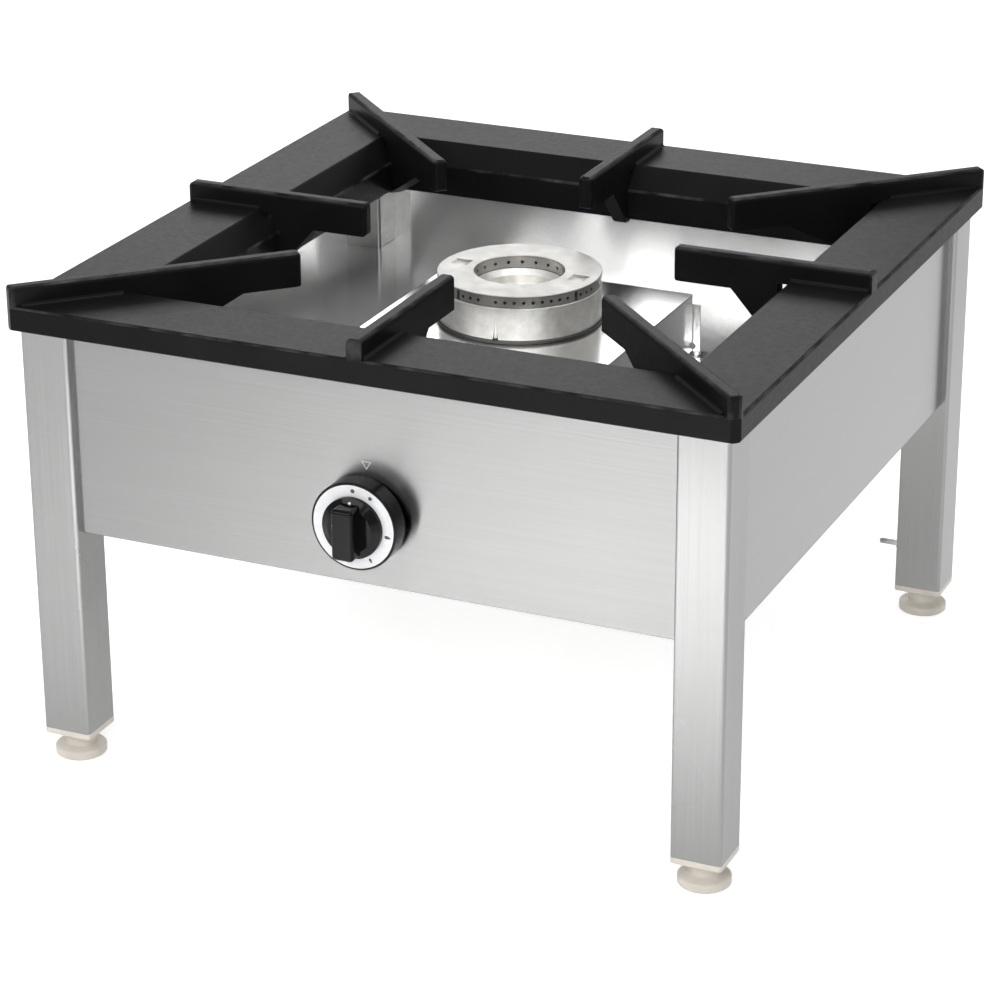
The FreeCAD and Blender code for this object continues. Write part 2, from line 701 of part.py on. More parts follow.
def burner_body():
    """The burner casting: wall, floor, neck and three posts for the bowl."""
    floor_z = BOX_TOP_Z + BURNER_FLOOR
    foot_top = BOX_TOP_Z + BURNER_FOOT_HEIGHT
    edge = BURNER_FOOT_EDGE
    bore = BURNER_R - BURNER_WALL
    casting = turned([
        (NECK_BORE_R, NECK_BOTTOM_Z), (NECK_R, NECK_BOTTOM_Z), (NECK_R, BOX_TOP_Z),
        (BURNER_FOOT_R - edge, BOX_TOP_Z), (BURNER_FOOT_R, BOX_TOP_Z + edge),
        (BURNER_FOOT_R, foot_top - 2 * edge), (BURNER_FOOT_R - edge, foot_top - edge),
        (BURNER_R + edge, foot_top), (BURNER_R, foot_top + 2 * edge),
        (BURNER_R, BURNER_WALL_TOP_Z - BURNER_TOP_CHAMFER),
        (BURNER_R - BURNER_TOP_CHAMFER, BURNER_WALL_TOP_Z),
        (bore, BURNER_WALL_TOP_Z), (bore, floor_z), (NECK_BORE_R, floor_z),
    ])
    post_top = floor_z + BOWL_POST_HEIGHT
    posts = []
    for degrees in (90, 210, 330):
        post = rod(BOWL_POST_R, (BOWL_POST_RADIUS, 0, floor_z - 1), (BOWL_POST_RADIUS, 0, post_top))
        posts.append(about_z(post, degrees))
    casting = fused([casting] + posts)
    crease_low = (BURNER_R + CREASE_OUT, 0, CREASE_Z[0])
    crease = cone(CREASE_R[0], CREASE_R[1], crease_low, (BURNER_R, 0, CREASE_Z[1]))
    casting = casting.cut(about_z(crease, CREASE_DEG))
    for x, y in burner_screw_places():
        casting = casting.cut(rod(SCREW_R, (x, y, 0), (x, y, floor_z - 1)))
    return casting


def burner_bowl():
    """The inner bowl with its central boss, on three posts of the body."""
    low = BOX_TOP_Z + BURNER_FLOOR + BOWL_POST_HEIGHT
    floor = low + BOWL_FLOOR
    rim_r = CAP_HOLE_R + CAP_INNER_WALL
    boss_top = floor + BOSS_HEIGHT
    return turned([
        (0, low), (BOWL_FLOOR_R + BOWL_WALL, low), (BOWL_SIDE_R + BOWL_WALL, BOWL_SIDE_Z - 1),
        (rim_r, BOWL_RIM_Z - 1), (rim_r, BOWL_RIM_Z), (CAP_HOLE_R, BOWL_RIM_Z),
        (BOWL_SIDE_R, BOWL_SIDE_Z), (BOWL_FLOOR_R, floor), (BOSS_R, floor),
        (BOSS_R, boss_top - BOSS_EDGE), (BOSS_R - BOSS_EDGE, boss_top), (0, boss_top),
    ])


def burner_cap():
    """The ported ring: top plate, two walls and a spigot that centres it."""
    under = CAP_TOP_Z - CAP_PLATE
    inner_r = CAP_HOLE_R + CAP_INNER_WALL
    spigot_inner = CAP_SPIGOT_R - CAP_SPIGOT_WALL
    spigot_z = BURNER_WALL_TOP_Z - CAP_SPIGOT_DEPTH
    groove_top = BURNER_WALL_TOP_Z + CAP_GROOVE_HEIGHT
    edge = CAP_EDGE
    ring = turned([
        (CAP_HOLE_R, BURNER_WALL_TOP_Z), (inner_r, BURNER_WALL_TOP_Z), (inner_r, under),
        (spigot_inner, under), (spigot_inner, spigot_z), (CAP_SPIGOT_R, spigot_z),
        (CAP_SPIGOT_R, BURNER_WALL_TOP_Z), (CAP_GROOVE_R, BURNER_WALL_TOP_Z),
        (CAP_GROOVE_R, groove_top), (CAP_BAND_R, groove_top), (CAP_BAND_R, CAP_PLATE_LIP_Z),
        (CAP_R, CAP_PLATE_LIP_Z), (CAP_R, CAP_TOP_Z - edge), (CAP_R - edge, CAP_TOP_Z),
        (CAP_HOLE_R + edge, CAP_TOP_Z), (CAP_HOLE_R, CAP_TOP_Z - edge),
    ])
    port = rod(PORT_R, (spigot_inner - 1, 0, PORT_Z), (CAP_R + 1, 0, PORT_Z))
    half_slot = SLOT_WIDTH / 2
    slot = box((CAP_SPIGOT_R + 0.5, CAP_R + 1), (-half_slot, half_slot),
               (BURNER_WALL_TOP_Z - 1, BURNER_WALL_TOP_Z + SLOT_HEIGHT))
    steps = [LONG_GROUP_FIRST + i for i in range(LONG_GROUP_COUNT)]
    steps += [SHORT_GROUP_FIRST + i for i in range(SHORT_GROUP_COUNT)]
    cuts = []
    for quarter in range(4):
        start = QUADRANT_START_DEG + 90 * quarter
        cuts.append(about_z(slot, start))
        cuts += [about_z(port, start - PORT_STEP_DEG * step) for step in steps]
    inner_port = rod(PORT_R, (CAP_HOLE_R - 1, 0, PORT_Z), (inner_r + 1, 0, PORT_Z))
    for i in range(INNER_PORT_COUNT):
        cuts.append(about_z(inner_port, 360 / INNER_PORT_COUNT * i + INNER_PORT_START_DEG))
    half_scoop = CAP_SCOOP_WIDTH / 2
    scoop_z = CAP_TOP_Z + CAP_SCOOP_R - CAP_SCOOP_DEPTH
    scoop = rod(CAP_SCOOP_R, (CAP_SCOOP_PLACE, -half_scoop, scoop_z),
                (CAP_SCOOP_PLACE, half_scoop, scoop_z))
    cuts += [scoop, about_z(scoop, 180)]
    return ring.cut(Part.makeCompound(cuts))


def burner_screws():
    """The two screws that hold the burner from under the box."""
    screw = pan_screw(0, 0, 0, BURNER_SCREW_LENGTH)
    screw.rotate(ORIGIN, X_AXIS, 180)
    seat = BOX_TOP_Z - BOX_SHEET
    return [moved(screw, x, y, seat) for x, y in burner_screw_places()]


# ---- mixing tube and injector ----
def air_windows(inner_r, outer_r):
    """Four cutters around a sleeve, for the primary air."""
    half = AIR_WINDOW_WIDTH / 2
    window = box((inner_r - 3, outer_r + 3), (-half, half), AIR_WINDOW_Z)
    return Part.makeCompound([about_z(window, 90 * quarter) for quarter in range(4)])


def mixing_tube():
    """The venturi, from the air chamber up to the burner's neck."""
    throat_low, throat_top = THROAT_Z
    tube = turned([
        (NECK_R, SOCKET_TOP_Z), (SOCKET_R, SOCKET_TOP_Z), (SOCKET_R, SOCKET_BOTTOM_Z),
        (THROAT_R, throat_top), (THROAT_R, throat_low), (AIR_CHAMBER_R, AIR_CHAMBER_TOP_Z),
        (AIR_CHAMBER_R, AIR_CHAMBER_BOTTOM_Z), (AIR_CHAMBER_BORE_R, AIR_CHAMBER_BOTTOM_Z),
        (AIR_CHAMBER_BORE_R, AIR_CHAMBER_TOP_Z - 2), (THROAT_BORE_R, throat_low),
        (THROAT_BORE_R, throat_top), (NECK_BORE_R, SOCKET_BOTTOM_Z),
        (NECK_BORE_R, NECK_BOTTOM_Z), (NECK_R, NECK_BOTTOM_Z),
    ])
    return tube.cut(air_windows(AIR_CHAMBER_BORE_R, AIR_CHAMBER_R))


def air_shutter():
    """The turning sleeve around the air chamber."""
    inner = AIR_CHAMBER_R + SHUTTER_CLEARANCE
    low, high = SHUTTER_Z
    screw_z = high - SHUTTER_LUG_DROP
    lug_end = SHUTTER_R + SHUTTER_LUG_REACH
    sleeve = turned([(inner, low), (SHUTTER_R, low), (SHUTTER_R, high), (inner, high)])
    lug = about_z(rod(SHUTTER_LUG_R, (0, SHUTTER_R - 1, screw_z), (0, lug_end, screw_z)), 45)
    sleeve = fused([sleeve, lug.cut(rod(inner, (0, 0, 0), (0, 0, REACH)))])
    screw_hole = rod(SCREW_R, (0, inner - 2, screw_z), (0, lug_end + 1, screw_z))
    sleeve = sleeve.cut(about_z(screw_hole, 45))
    return sleeve.cut(air_windows(inner, SHUTTER_R))


def air_shutter_screw():
    """The small screw that clamps the shutter."""
    z = SHUTTER_Z[1] - SHUTTER_LUG_DROP
    tip = AIR_CHAMBER_R + SHUTTER_CLEARANCE + SHUTTER_SCREW_GAP
    lug_end = SHUTTER_R + SHUTTER_LUG_REACH
    head_r, head_height = SHUTTER_SCREW_HEAD
    shank = rod(SCREW_R, (0, tip, z), (0, lug_end, z))
    head = rod(head_r, (0, lug_end, z), (0, lug_end + head_height, z))
    return about_z(fused([shank, head]), 45)


def injector_holder():
    """The elbow under the air chamber that holds the injector."""
    low = HOLDER_Z - HOLDER_STEM_R
    plate = rod(AIR_CHAMBER_R, (0, 0, HOLDER_PLATE_Z), (0, 0, AIR_CHAMBER_BOTTOM_Z))
    stem = rod(HOLDER_STEM_R, (0, 0, low), (0, 0, INJECTOR_SEAT_Z))
    arm = rod(HOLDER_ARM_R, (0, 0, HOLDER_Z), (0, HOLDER_ARM_END_Y, HOLDER_Z))
    solid = fused([plate, stem, arm])
    solid = solid.cut(rod(HOLDER_BORE_R, (0, 0, HOLDER_Z), (0, 0, REACH)))
    return solid.cut(rod(HOLDER_BORE_R, (0, 0, HOLDER_Z), (0, -REACH, HOLDER_Z)))


def injector():
    """The gas jet, screwed into its holder."""
    seat = INJECTOR_SEAT_Z
    step = INJECTOR_STEP
    wide, narrow = INJECTOR_NOZZLE_R
    solid = fused([
        rod(HOLDER_BORE_R, (0, 0, seat - step), (0, 0, seat)),
        hexagon(INJECTOR_HEX_R, (0, 0, seat), (0, 0, seat + step)),
        cone(wide, narrow, (0, 0, seat + step), (0, 0, seat + 2 * step)),
    ])
    return solid.cut(rod(INJECTOR_JET_R, (0, 0, 0), (0, 0, REACH)))


# ---- gas tap and knob ----
def at_knob(x, y, z):
    """A point measured from the knob's axis."""
    return (x, y, KNOB_Z + z)


def d_bar(radius, flat, y):
    """A round bar along Y on the knob's axis, with one flat above."""
    bar = rod(radius, at_knob(0, y[0], 0), at_knob(0, y[1], 0))
    cut = box((-REACH, REACH), (y[0] - 1, y[1] + 1), (KNOB_Z + flat, KNOB_Z + REACH))
    return bar.cut(cut)


def tap_screw_shanks():
    """The shanks of the two screws that hold the tap."""
    end_y = TAP_FLANGE_Y[1] + TAP_SCREW_TAIL
    return [rod(TAP_SCREW_R, at_knob(x, -PANEL_FACE, 0), at_knob(x, end_y, 0))
            for x in (-TAP_SCREW_X, TAP_SCREW_X)]


def tap_screws():
    """The two screws that hold the tap behind the front panel."""
    solids = []
    head_r, head_height = TAP_SCREW_HEAD
    for shank in tap_screw_shanks():
        x = shank.BoundBox.Center.x
        head = rod(head_r, at_knob(x, -PANEL_FACE - head_height, 0), at_knob(x, -PANEL_FACE, 0))
        solids.append(fused([head, shank]))
    return solids


def valve_bracket():
    """The stiffening plate behind the front panel."""
    half_x, half_z = BRACKET_HALF
    back = -PANEL_INNER + BRACKET_THICKNESS
    plate = box((-half_x, half_x), (-PANEL_INNER, back), (KNOB_Z - half_z, KNOB_Z + half_z))
    plate = plate.cut(rod(TAP_NECK_R, at_knob(0, -REACH, 0), at_knob(0, 0, 0)))
    return plate.cut(Part.makeCompound(tap_screw_shanks()))


def valve_body():
    """The brass tap: neck, flange, barrel, block and its three connections."""
    half_x, half_z = TAP_FLANGE_HALF
    y0, y1 = TAP_BLOCK_Y
    solid = fused([
        rod(TAP_NECK_R, at_knob(0, TAP_NECK_FRONT_Y, 0), at_knob(0, TAP_FLANGE_Y[1], 0)),
        box((-half_x, half_x), TAP_FLANGE_Y, (KNOB_Z - half_z, KNOB_Z + half_z)),
        rod(TAP_R, at_knob(0, TAP_FLANGE_Y[0] + 1, 0), at_knob(0, y0 + 1, 0)),
        box((-TAP_BLOCK_HALF_X, TAP_BLOCK_HALF_X), (y0, y1), (KNOB_Z - TAP_R, KNOB_Z + TAP_R)),
        rod(TAP_INLET_R, at_knob(0, TAP_INLET_Y, 0), at_knob(TAP_INLET_END_X, TAP_INLET_Y, 0)),
        rod(TAP_OUTLET_R, at_knob(0, y1 - 1, 0), at_knob(0, TAP_OUTLET_END_Y, 0)),
        rod(PILOT_OUTLET_R, at_knob(PILOT_OUTLET_X, y1 - 1, 0),
            at_knob(PILOT_OUTLET_X, TAP_OUTLET_END_Y, 0)),
        rod(MAGNET_R, at_knob(0, MAGNET_Y, 0), at_knob(MAGNET_END_X, MAGNET_Y, 0)),
    ])
    front, back = CONE_Y
    gap = SPINDLE_CLEARANCE
    cuts = [
        rod(TAP_NECK_BORE_R, at_knob(0, -REACH, 0), at_knob(0, front, 0)),
        cone(CONE_R[0] + gap, CONE_R[1] + gap, at_knob(0, front - 0.5, 0), at_knob(0, back + 0.5, 0)),
        rod(TAP_BORE_R, at_knob(0, TAP_INLET_Y, 0), at_knob(TAP_INLET_END_X - 1, TAP_INLET_Y, 0)),
        rod(TAP_BORE_R, at_knob(0, back, 0), at_knob(0, TAP_OUTLET_END_Y + 1, 0)),
    ]
    solid = solid.cut(fused(cuts))
    return solid.cut(Part.makeCompound(tap_screw_shanks()))


def tap_cone():
    """The tap's inner cone, turned by the spindle."""
    front, back = CONE_Y
    solid = cone(CONE_R[0], CONE_R[1], at_knob(0, front, 0), at_knob(0, back, 0))
    bore_back = SPINDLE_BACK_Y + SPINDLE_TRAVEL_ROOM
    gap = SPINDLE_CLEARANCE
    solid = solid.cut(d_bar(SPINDLE_R + gap, SPINDLE_FLAT + gap, (front - 1, bore_back)))
    return solid.cut(rod(CONE_PORT_R, at_knob(0, bore_back - 1, 0), at_knob(0, back + 1, 0)))


def valve_spindle():
    """The spindle, with a collar that bears on the spring."""
    shaft = d_bar(SPINDLE_R, SPINDLE_FLAT, (SPINDLE_FRONT_Y, SPINDLE_BACK_Y))
    collar = rod(COLLAR_R, at_knob(0, COLLAR_Y[0], 0), at_knob(0, COLLAR_Y[1], 0))
    return fused([shaft, collar])


def spindle_spring():
    """The return spring around the spindle, at its length with the knob pushed in."""
    start = COLLAR_Y[1] + KNOB_TRAVEL + SPRING_WIRE_R + SPRING_END_GAP
    length = CONE_Y[0] - SPRING_WIRE_R - SPRING_END_GAP - start
    coil = Part.makeHelix(length / SPRING_TURNS, length, SPRING_R)
    ring = Part.Wire(Part.makeCircle(SPRING_WIRE_R, V(SPRING_R, 0, 0), Y_AXIS))
    wire = Part.Wire(coil).makePipeShell([ring], True, True)
    wire.rotate(ORIGIN, X_AXIS, -90)
    return moved(wire, 0, start, KNOB_Z)


def control_knob():
    """The knob: hollow skirt, face, boss and grip bar."""
    centre = V(0, 0, KNOB_Z)
    back, face = KNOB_BACK_Y, KNOB_FACE_Y
    edge = KNOB_EDGE_ROUND
    recess = face + DIAL_THICKNESS
    hub_face = face - HUB_RISE
    inside = face + KNOB_WALL
    inner_r = KNOB_R - KNOB_WALL
    body = turned([
        (0, hub_face), (HUB_FLAT_R, hub_face), (DIAL_INNER_R, face - HUB_STEP),
        (DIAL_INNER_R, recess), (DIAL_OUTER_R, recess), (DIAL_OUTER_R, face),
        (KNOB_R - edge / 2, face), (KNOB_R, face + edge / 2), (KNOB_R, back - edge / 2),
        (KNOB_R - edge / 2, back), (inner_r, back), (inner_r, inside), (KNOB_BOSS_R, inside),
        (KNOB_BOSS_R, back - 3), (0, back - 3),
    ], Y_AXIS, centre)
    half_x, half_z = GRIP_WIDTH / 2, GRIP_LENGTH / 2
    front = face - GRIP_HEIGHT
    grip = box((-half_x, half_x), (front, face + 1), (KNOB_Z - half_z, KNOB_Z + half_z))
    grip = rounded(grip, GRIP_ROUND, lambda edge: not on_depth(face + 1)(edge))
    knob = fused([body, grip])
    return knob.cut(d_bar(SPINDLE_R, SPINDLE_FLAT, (SPINDLE_FRONT_Y, back)))


def dial_ring():
    """The flat ring that carries the setting marks."""
    recess = KNOB_FACE_Y + DIAL_THICKNESS
    return turned([
        (DIAL_INNER_R, KNOB_FACE_Y), (DIAL_OUTER_R, KNOB_FACE_Y), (DIAL_OUTER_R, recess),
        (DIAL_INNER_R, recess),
    ], Y_AXIS, V(0, 0, KNOB_Z))


# ---- gas lines ----
def at_inlet(y):
    """A point on the axis of the rear inlet."""
    return (INLET_X, y, INLET_Z)


def inlet_connector():
    """The threaded connector through the rear panel."""
    thread_y = INLET_END_Y - INLET_THREAD_LENGTH
    hex_y = thread_y - INLET_HEX_LENGTH
    shoulder_r = INLET_HEX_R + 1
    solid = fused([
        rod(INLET_SHANK_R, at_inlet(INLET_INNER_Y), at_inlet(hex_y)),
        rod(shoulder_r, at_inlet(PANEL_FACE), at_inlet(hex_y)),
        hexagon(INLET_HEX_R, at_inlet(hex_y), at_inlet(thread_y)),
        rod(INLET_THREAD_R, at_inlet(thread_y), at_inlet(INLET_END_Y)),
    ])
    return solid.cut(rod(INLET_BORE_R, at_inlet(0), at_inlet(REACH)))


def inlet_locknut():
    """The nut that clamps the connector to the rear panel."""
    nut = hexagon(LOCKNUT_R, at_inlet(PANEL_INNER - LOCKNUT_HEIGHT), at_inlet(PANEL_INNER))
    return nut.cut(rod(INLET_SHANK_R, at_inlet(0), at_inlet(REACH)))


def inlet_pipe_points():
    """The inlet pipe's route, from the rear connector to the tap."""
    return [
        at_inlet(INLET_INNER_Y),
        (INLET_X, -175, INLET_Z),
        (INLET_X, TAP_INLET_Y, KNOB_Z),
        at_knob(TAP_INLET_END_X, TAP_INLET_Y, 0),
    ]


def feed_pipe_points():
    """The burner feed pipe's route, from the tap to the injector holder."""
    return [
        at_knob(0, TAP_OUTLET_END_Y, 0),
        (0, -150, KNOB_Z),
        (0, -85, HOLDER_Z),
        (0, HOLDER_ARM_END_Y, HOLDER_Z),
    ]


def compression_nuts():
    """The hexagonal nuts at the ends of the two pipes."""
    ends = [
        (at_inlet(INLET_INNER_Y), V(0, -1, 0), INLET_PIPE_R, 12.0),
        (at_knob(TAP_INLET_END_X, TAP_INLET_Y, 0), V(-1, 0, 0), INLET_PIPE_R, 10.5),
        (at_knob(0, TAP_OUTLET_END_Y, 0), V(0, 1, 0), FEED_PIPE_R, 7.6),
        ((0, HOLDER_ARM_END_Y, HOLDER_Z), V(0, -1, 0), FEED_PIPE_R, 8.5),
    ]
    nuts = []
    for start, direction, bore, radius in ends:
        end = V(*start) + direction * NUT_LENGTH
        far = V(*start) + direction * (NUT_LENGTH + 1)
        near = V(*start) - direction
        nuts.append(hexagon(radius, start, end).cut(rod(bore, near, far)))
    return nuts


# ---- pilot and thermocouple ----
def pilot_burner():
    """The pilot burner, a hooded tube beside the main burner."""
    x, y = PILOT_XY
    tube = rod(PILOT_R - 0.4, (x, y, PILOT_BOTTOM_Z), (x, y, PILOT_TOP_Z))
    collar = rod(PILOT_R + 1, (x, y, PILOT_SHELF_Z + PILOT_SHELF), (x, y, PILOT_SHELF_Z + 5))
    solid = fused([tube, collar])
    solid = solid.cut(rod(PILOT_R - 1.6, (x, y, PILOT_SHELF_Z), (x, y, PILOT_TOP_Z - 2)))
    mouth = box((x - 2, x + 2), (y - 8, y), (PILOT_TOP_Z - 7, PILOT_TOP_Z - 2))
    return solid.cut(mouth)


def thermocouple():
    """The thermocouple's probe."""
    x, y = THERMO_XY
    tip_z = PILOT_SHELF_Z + 5
    return fused([
        rod(THERMO_R, (x, y, PILOT_BOTTOM_Z), (x, y, tip_z)),
        rod(THERMO_TIP_R, (x, y, tip_z), (x, y, THERMO_TOP_Z)),
    ])


def pilot_bracket():
    """The folded bracket that carries pilot and thermocouple."""
    x0, x1 = PILOT_XY[0] - 9, THERMO_XY[0] + 8
    y = PILOT_XY[1]
    leg_y = y + 10
    solids = [
        box((x0, x1), (y - 7, leg_y + PILOT_SHELF), (PILOT_SHELF_Z, PILOT_SHELF_Z + PILOT_SHELF)),
        box((x0, x1), (leg_y, leg_y + PILOT_SHELF), (BOX_TOP_Z, PILOT_SHELF_Z)),
        box((x0, x1), (leg_y, leg_y + 12), (BOX_TOP_Z, BOX_TOP_Z + PILOT_SHELF)),
    ]
    bracket = fused(solids)
    bracket = bracket.cut(rod(PILOT_R - 0.4, (*PILOT_XY, 0), (*PILOT_XY, REACH)))
    return bracket.cut(rod(THERMO_R, (*THERMO_XY, 0), (*THERMO_XY, REACH)))


def pilot_tube():
    """The thin gas line from the tap to the pilot."""
    x, y = PILOT_XY
    points = [
        (x, y, PILOT_BOTTOM_Z),
        (x, y, LINE_Z),
        (x, -150, LINE_Z),
        at_knob(PILOT_OUTLET_X, -185, 0),
        at_knob(PILOT_OUTLET_X, TAP_OUTLET_END_Y, 0),
    ]
    return swept(points, SMALL_BEND_R, PILOT_TUBE_R)


def thermocouple_lead():
    """The thermocouple's copper lead, back to the tap."""
    x, y = THERMO_XY
    side = 80
    points = [
        (x, y, PILOT_BOTTOM_Z),
        (x, y, LINE_Z),
        (side, y - 10, LINE_Z),
        (side, -190, LINE_Z),
        at_knob(side - 5, MAGNET_Y, 0),
        at_knob(MAGNET_END_X, MAGNET_Y, 0),
    ]
    return swept(points, SMALL_BEND_R, LEAD_R)


# ---- bonding stud ----
def at_bond(x):
    """A point on the axis of the bonding stud."""
    return (x, LEG_CENTRE, BOND_Z)


def bonding_stud():
    """The bonding bolt: its head inside the leg, its thread outside."""
    wall_x = LEG_INNER_FACE + LEG_WALL
    return fused([
        rod(BOND_R, at_bond(BOND_END_X), at_bond(wall_x)),
        hexagon(BOND_NUT_R, at_bond(wall_x), at_bond(wall_x + BOND_HEAD)),
    ])


def bonding_nuts():
    """The washer and the nut against the leg."""
    washer_x = LEG_INNER_FACE - BOND_WASHER
    bore = rod(BOND_R, at_bond(0), at_bond(LEG_INNER_FACE + 1))
    washer = rod(BOND_WASHER_R, at_bond(LEG_INNER_FACE), at_bond(washer_x))
    nut = hexagon(BOND_NUT_R, at_bond(washer_x), at_bond(washer_x - BOND_NUT_LENGTH))
    return [washer.cut(bore), nut.cut(bore)]


# ---- assembly ----
def build():
    """All nodes, by name."""
    nodes = {"grate": grate()}

    bond_hole = rod(BOND_R, at_bond(BOND_END_X), at_bond(LEG_INNER_FACE + 5))
    for name, (side_x, side_y) in CORNERS.items():
        x, y = side_x * LEG_CENTRE, side_y * LEG_CENTRE
        nodes["leg_" + name] = moved(leg_tube(), x, y, 0).cut(bond_hole)
        nodes["leg_insert_" + name] = moved(leg_insert(), x, y, 0)
        nodes["foot_pad_" + name] = moved(foot_pad(), x, y, 0)
        nodes["foot_stud_" + name] = moved(foot_stud(), x, y, 0)

    for name, degrees in SIDES.items():
        nodes["panel_" + name] = about_z(panel(), degrees)
    neck_hole = rod(TAP_NECK_R, at_knob(0, -REACH, 0), at_knob(0, 0, 0))
    front_holes = Part.makeCompound([neck_hole] + tap_screw_shanks())
    nodes["panel_front"] = nodes["panel_front"].cut(front_holes)
    inlet_hole = rod(INLET_SHANK_R, at_inlet(0), at_inlet(REACH))
    nodes["panel_rear"] = nodes["panel_rear"].cut(inlet_hole)
    nodes["deck_plate"] = deck_plate()

    nodes["burner_box"] = burner_box()
    nodes["burner_box_screws"] = Part.makeCompound(burner_box_screws())
    nodes["burner_body"] = burner_body()
    nodes["burner_bowl"] = burner_bowl()
    nodes["burner_cap"] = burner_cap()
    nodes["burner_screws"] = Part.makeCompound(burner_screws())

    nodes["mixing_tube"] = mixing_tube()
    nodes["air_shutter"] = air_shutter()
    nodes["air_shutter_screw"] = air_shutter_screw()
    nodes["injector_holder"] = injector_holder()
    nodes["injector"] = injector()

    nodes["valve_bracket"] = valve_bracket()
    nodes["valve_body"] = valve_body()
    nodes["valve_screws"] = Part.makeCompound(tap_screws())
    nodes["tap_cone"] = tap_cone()
    nodes["valve_spindle"] = valve_spindle()
    nodes["spindle_spring"] = spindle_spring()
    nodes["control_knob"] = control_knob()
    nodes["dial_ring"] = dial_ring()

    nodes["inlet_connector"] = inlet_connector()
    nodes["inlet_locknut"] = inlet_locknut()
    nodes["inlet_pipe"] = pipe(inlet_pipe_points(), PIPE_BEND_R, INLET_PIPE_R)
    nodes["burner_feed_pipe"] = pipe(feed_pipe_points(), PIPE_BEND_R, FEED_PIPE_R)
    nodes["compression_nuts"] = Part.makeCompound(compression_nuts())

    nodes["pilot_bracket"] = pilot_bracket()
    nodes["pilot_burner"] = pilot_burner()
    nodes["pilot_tube"] = pilot_tube()
    nodes["thermocouple"] = thermocouple()
    nodes["thermocouple_lead"] = thermocouple_lead()

    nodes["bonding_stud"] = bonding_stud()
    nodes["bonding_nuts"] = Part.makeCompound(bonding_nuts())
    return nodes


os.makedirs("parts", exist_ok=True)
for node_name, node_shape in build().items():
    if node_shape.isValid():
        state = "valid"
    else:
        state = "NOT VALID"
    print(node_name, len(node_shape.Solids), "solids", round(node_shape.Volume), "mm3", state)
    node_shape.exportStep("parts/" + node_name + ".step")
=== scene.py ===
import json
import math

import bmesh
import bpy
from mathutils import Matrix, Vector


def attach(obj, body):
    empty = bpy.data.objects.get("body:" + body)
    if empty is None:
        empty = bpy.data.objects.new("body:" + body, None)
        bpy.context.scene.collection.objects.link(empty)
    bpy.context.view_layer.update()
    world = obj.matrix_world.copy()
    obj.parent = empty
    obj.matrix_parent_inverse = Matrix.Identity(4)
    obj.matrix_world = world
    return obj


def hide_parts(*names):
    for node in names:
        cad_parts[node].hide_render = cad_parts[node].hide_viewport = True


# Looks of the stock pot range: finishes of its nodes, small printed and threaded
# details, floor, light and camera. Lengths are in metres, in the frame's own axes.

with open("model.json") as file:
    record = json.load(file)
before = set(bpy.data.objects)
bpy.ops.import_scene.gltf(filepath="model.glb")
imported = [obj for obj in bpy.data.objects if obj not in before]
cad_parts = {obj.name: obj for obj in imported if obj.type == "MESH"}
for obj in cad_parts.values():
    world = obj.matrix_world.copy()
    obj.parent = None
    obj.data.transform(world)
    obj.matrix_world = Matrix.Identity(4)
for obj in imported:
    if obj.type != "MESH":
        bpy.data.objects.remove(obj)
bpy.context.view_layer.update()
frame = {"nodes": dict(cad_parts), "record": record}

MM = 0.001
X_AXIS, Y_AXIS = Vector((1, 0, 0)), Vector((0, 1, 0))
CORNERS = ("front_left", "front_right", "rear_right", "rear_left")

# ---- camera ----
CAMERA_PLACE = (1.0011, -2.2573, 1.1889)
CAMERA_YAW = 0.424
CAMERA_PITCH = 0.396
CAMERA_ROLL = -0.005
FOCAL_PIXELS = 3320.5
IMAGE_PIXELS = 1000
SENSOR_MM = 36.0


def make_camera():
    """The camera, at the photograph's viewing angle."""
    forward = Vector((-math.sin(CAMERA_YAW) * math.cos(CAMERA_PITCH),
                      math.cos(CAMERA_YAW) * math.cos(CAMERA_PITCH),
                      -math.sin(CAMERA_PITCH)))
    right = Vector((math.cos(CAMERA_YAW), math.sin(CAMERA_YAW), 0))
    up = right.cross(forward)
    tilt = Matrix.Rotation(-CAMERA_ROLL, 3, forward)
    right, up = tilt @ right, tilt @ up
    data = bpy.data.cameras.new("camera")
    data.sensor_width = SENSOR_MM
    data.lens = FOCAL_PIXELS / IMAGE_PIXELS * SENSOR_MM
    camera = bpy.data.objects.new("camera", data)
    turn = Matrix((right, up, -forward)).transposed().to_4x4()
    camera.matrix_world = Matrix.Translation(CAMERA_PLACE) @ turn
    bpy.context.scene.collection.objects.link(camera)
    bpy.context.scene.camera = camera


# ---- surfaces ----
BRUSH_SLANT = 0.03        # keeps a brushing axis from being square to any sheet
MIX_FIRST, MIX_SECOND, MIX_RESULT = 6, 7, 2    # a mix node's sockets for colours


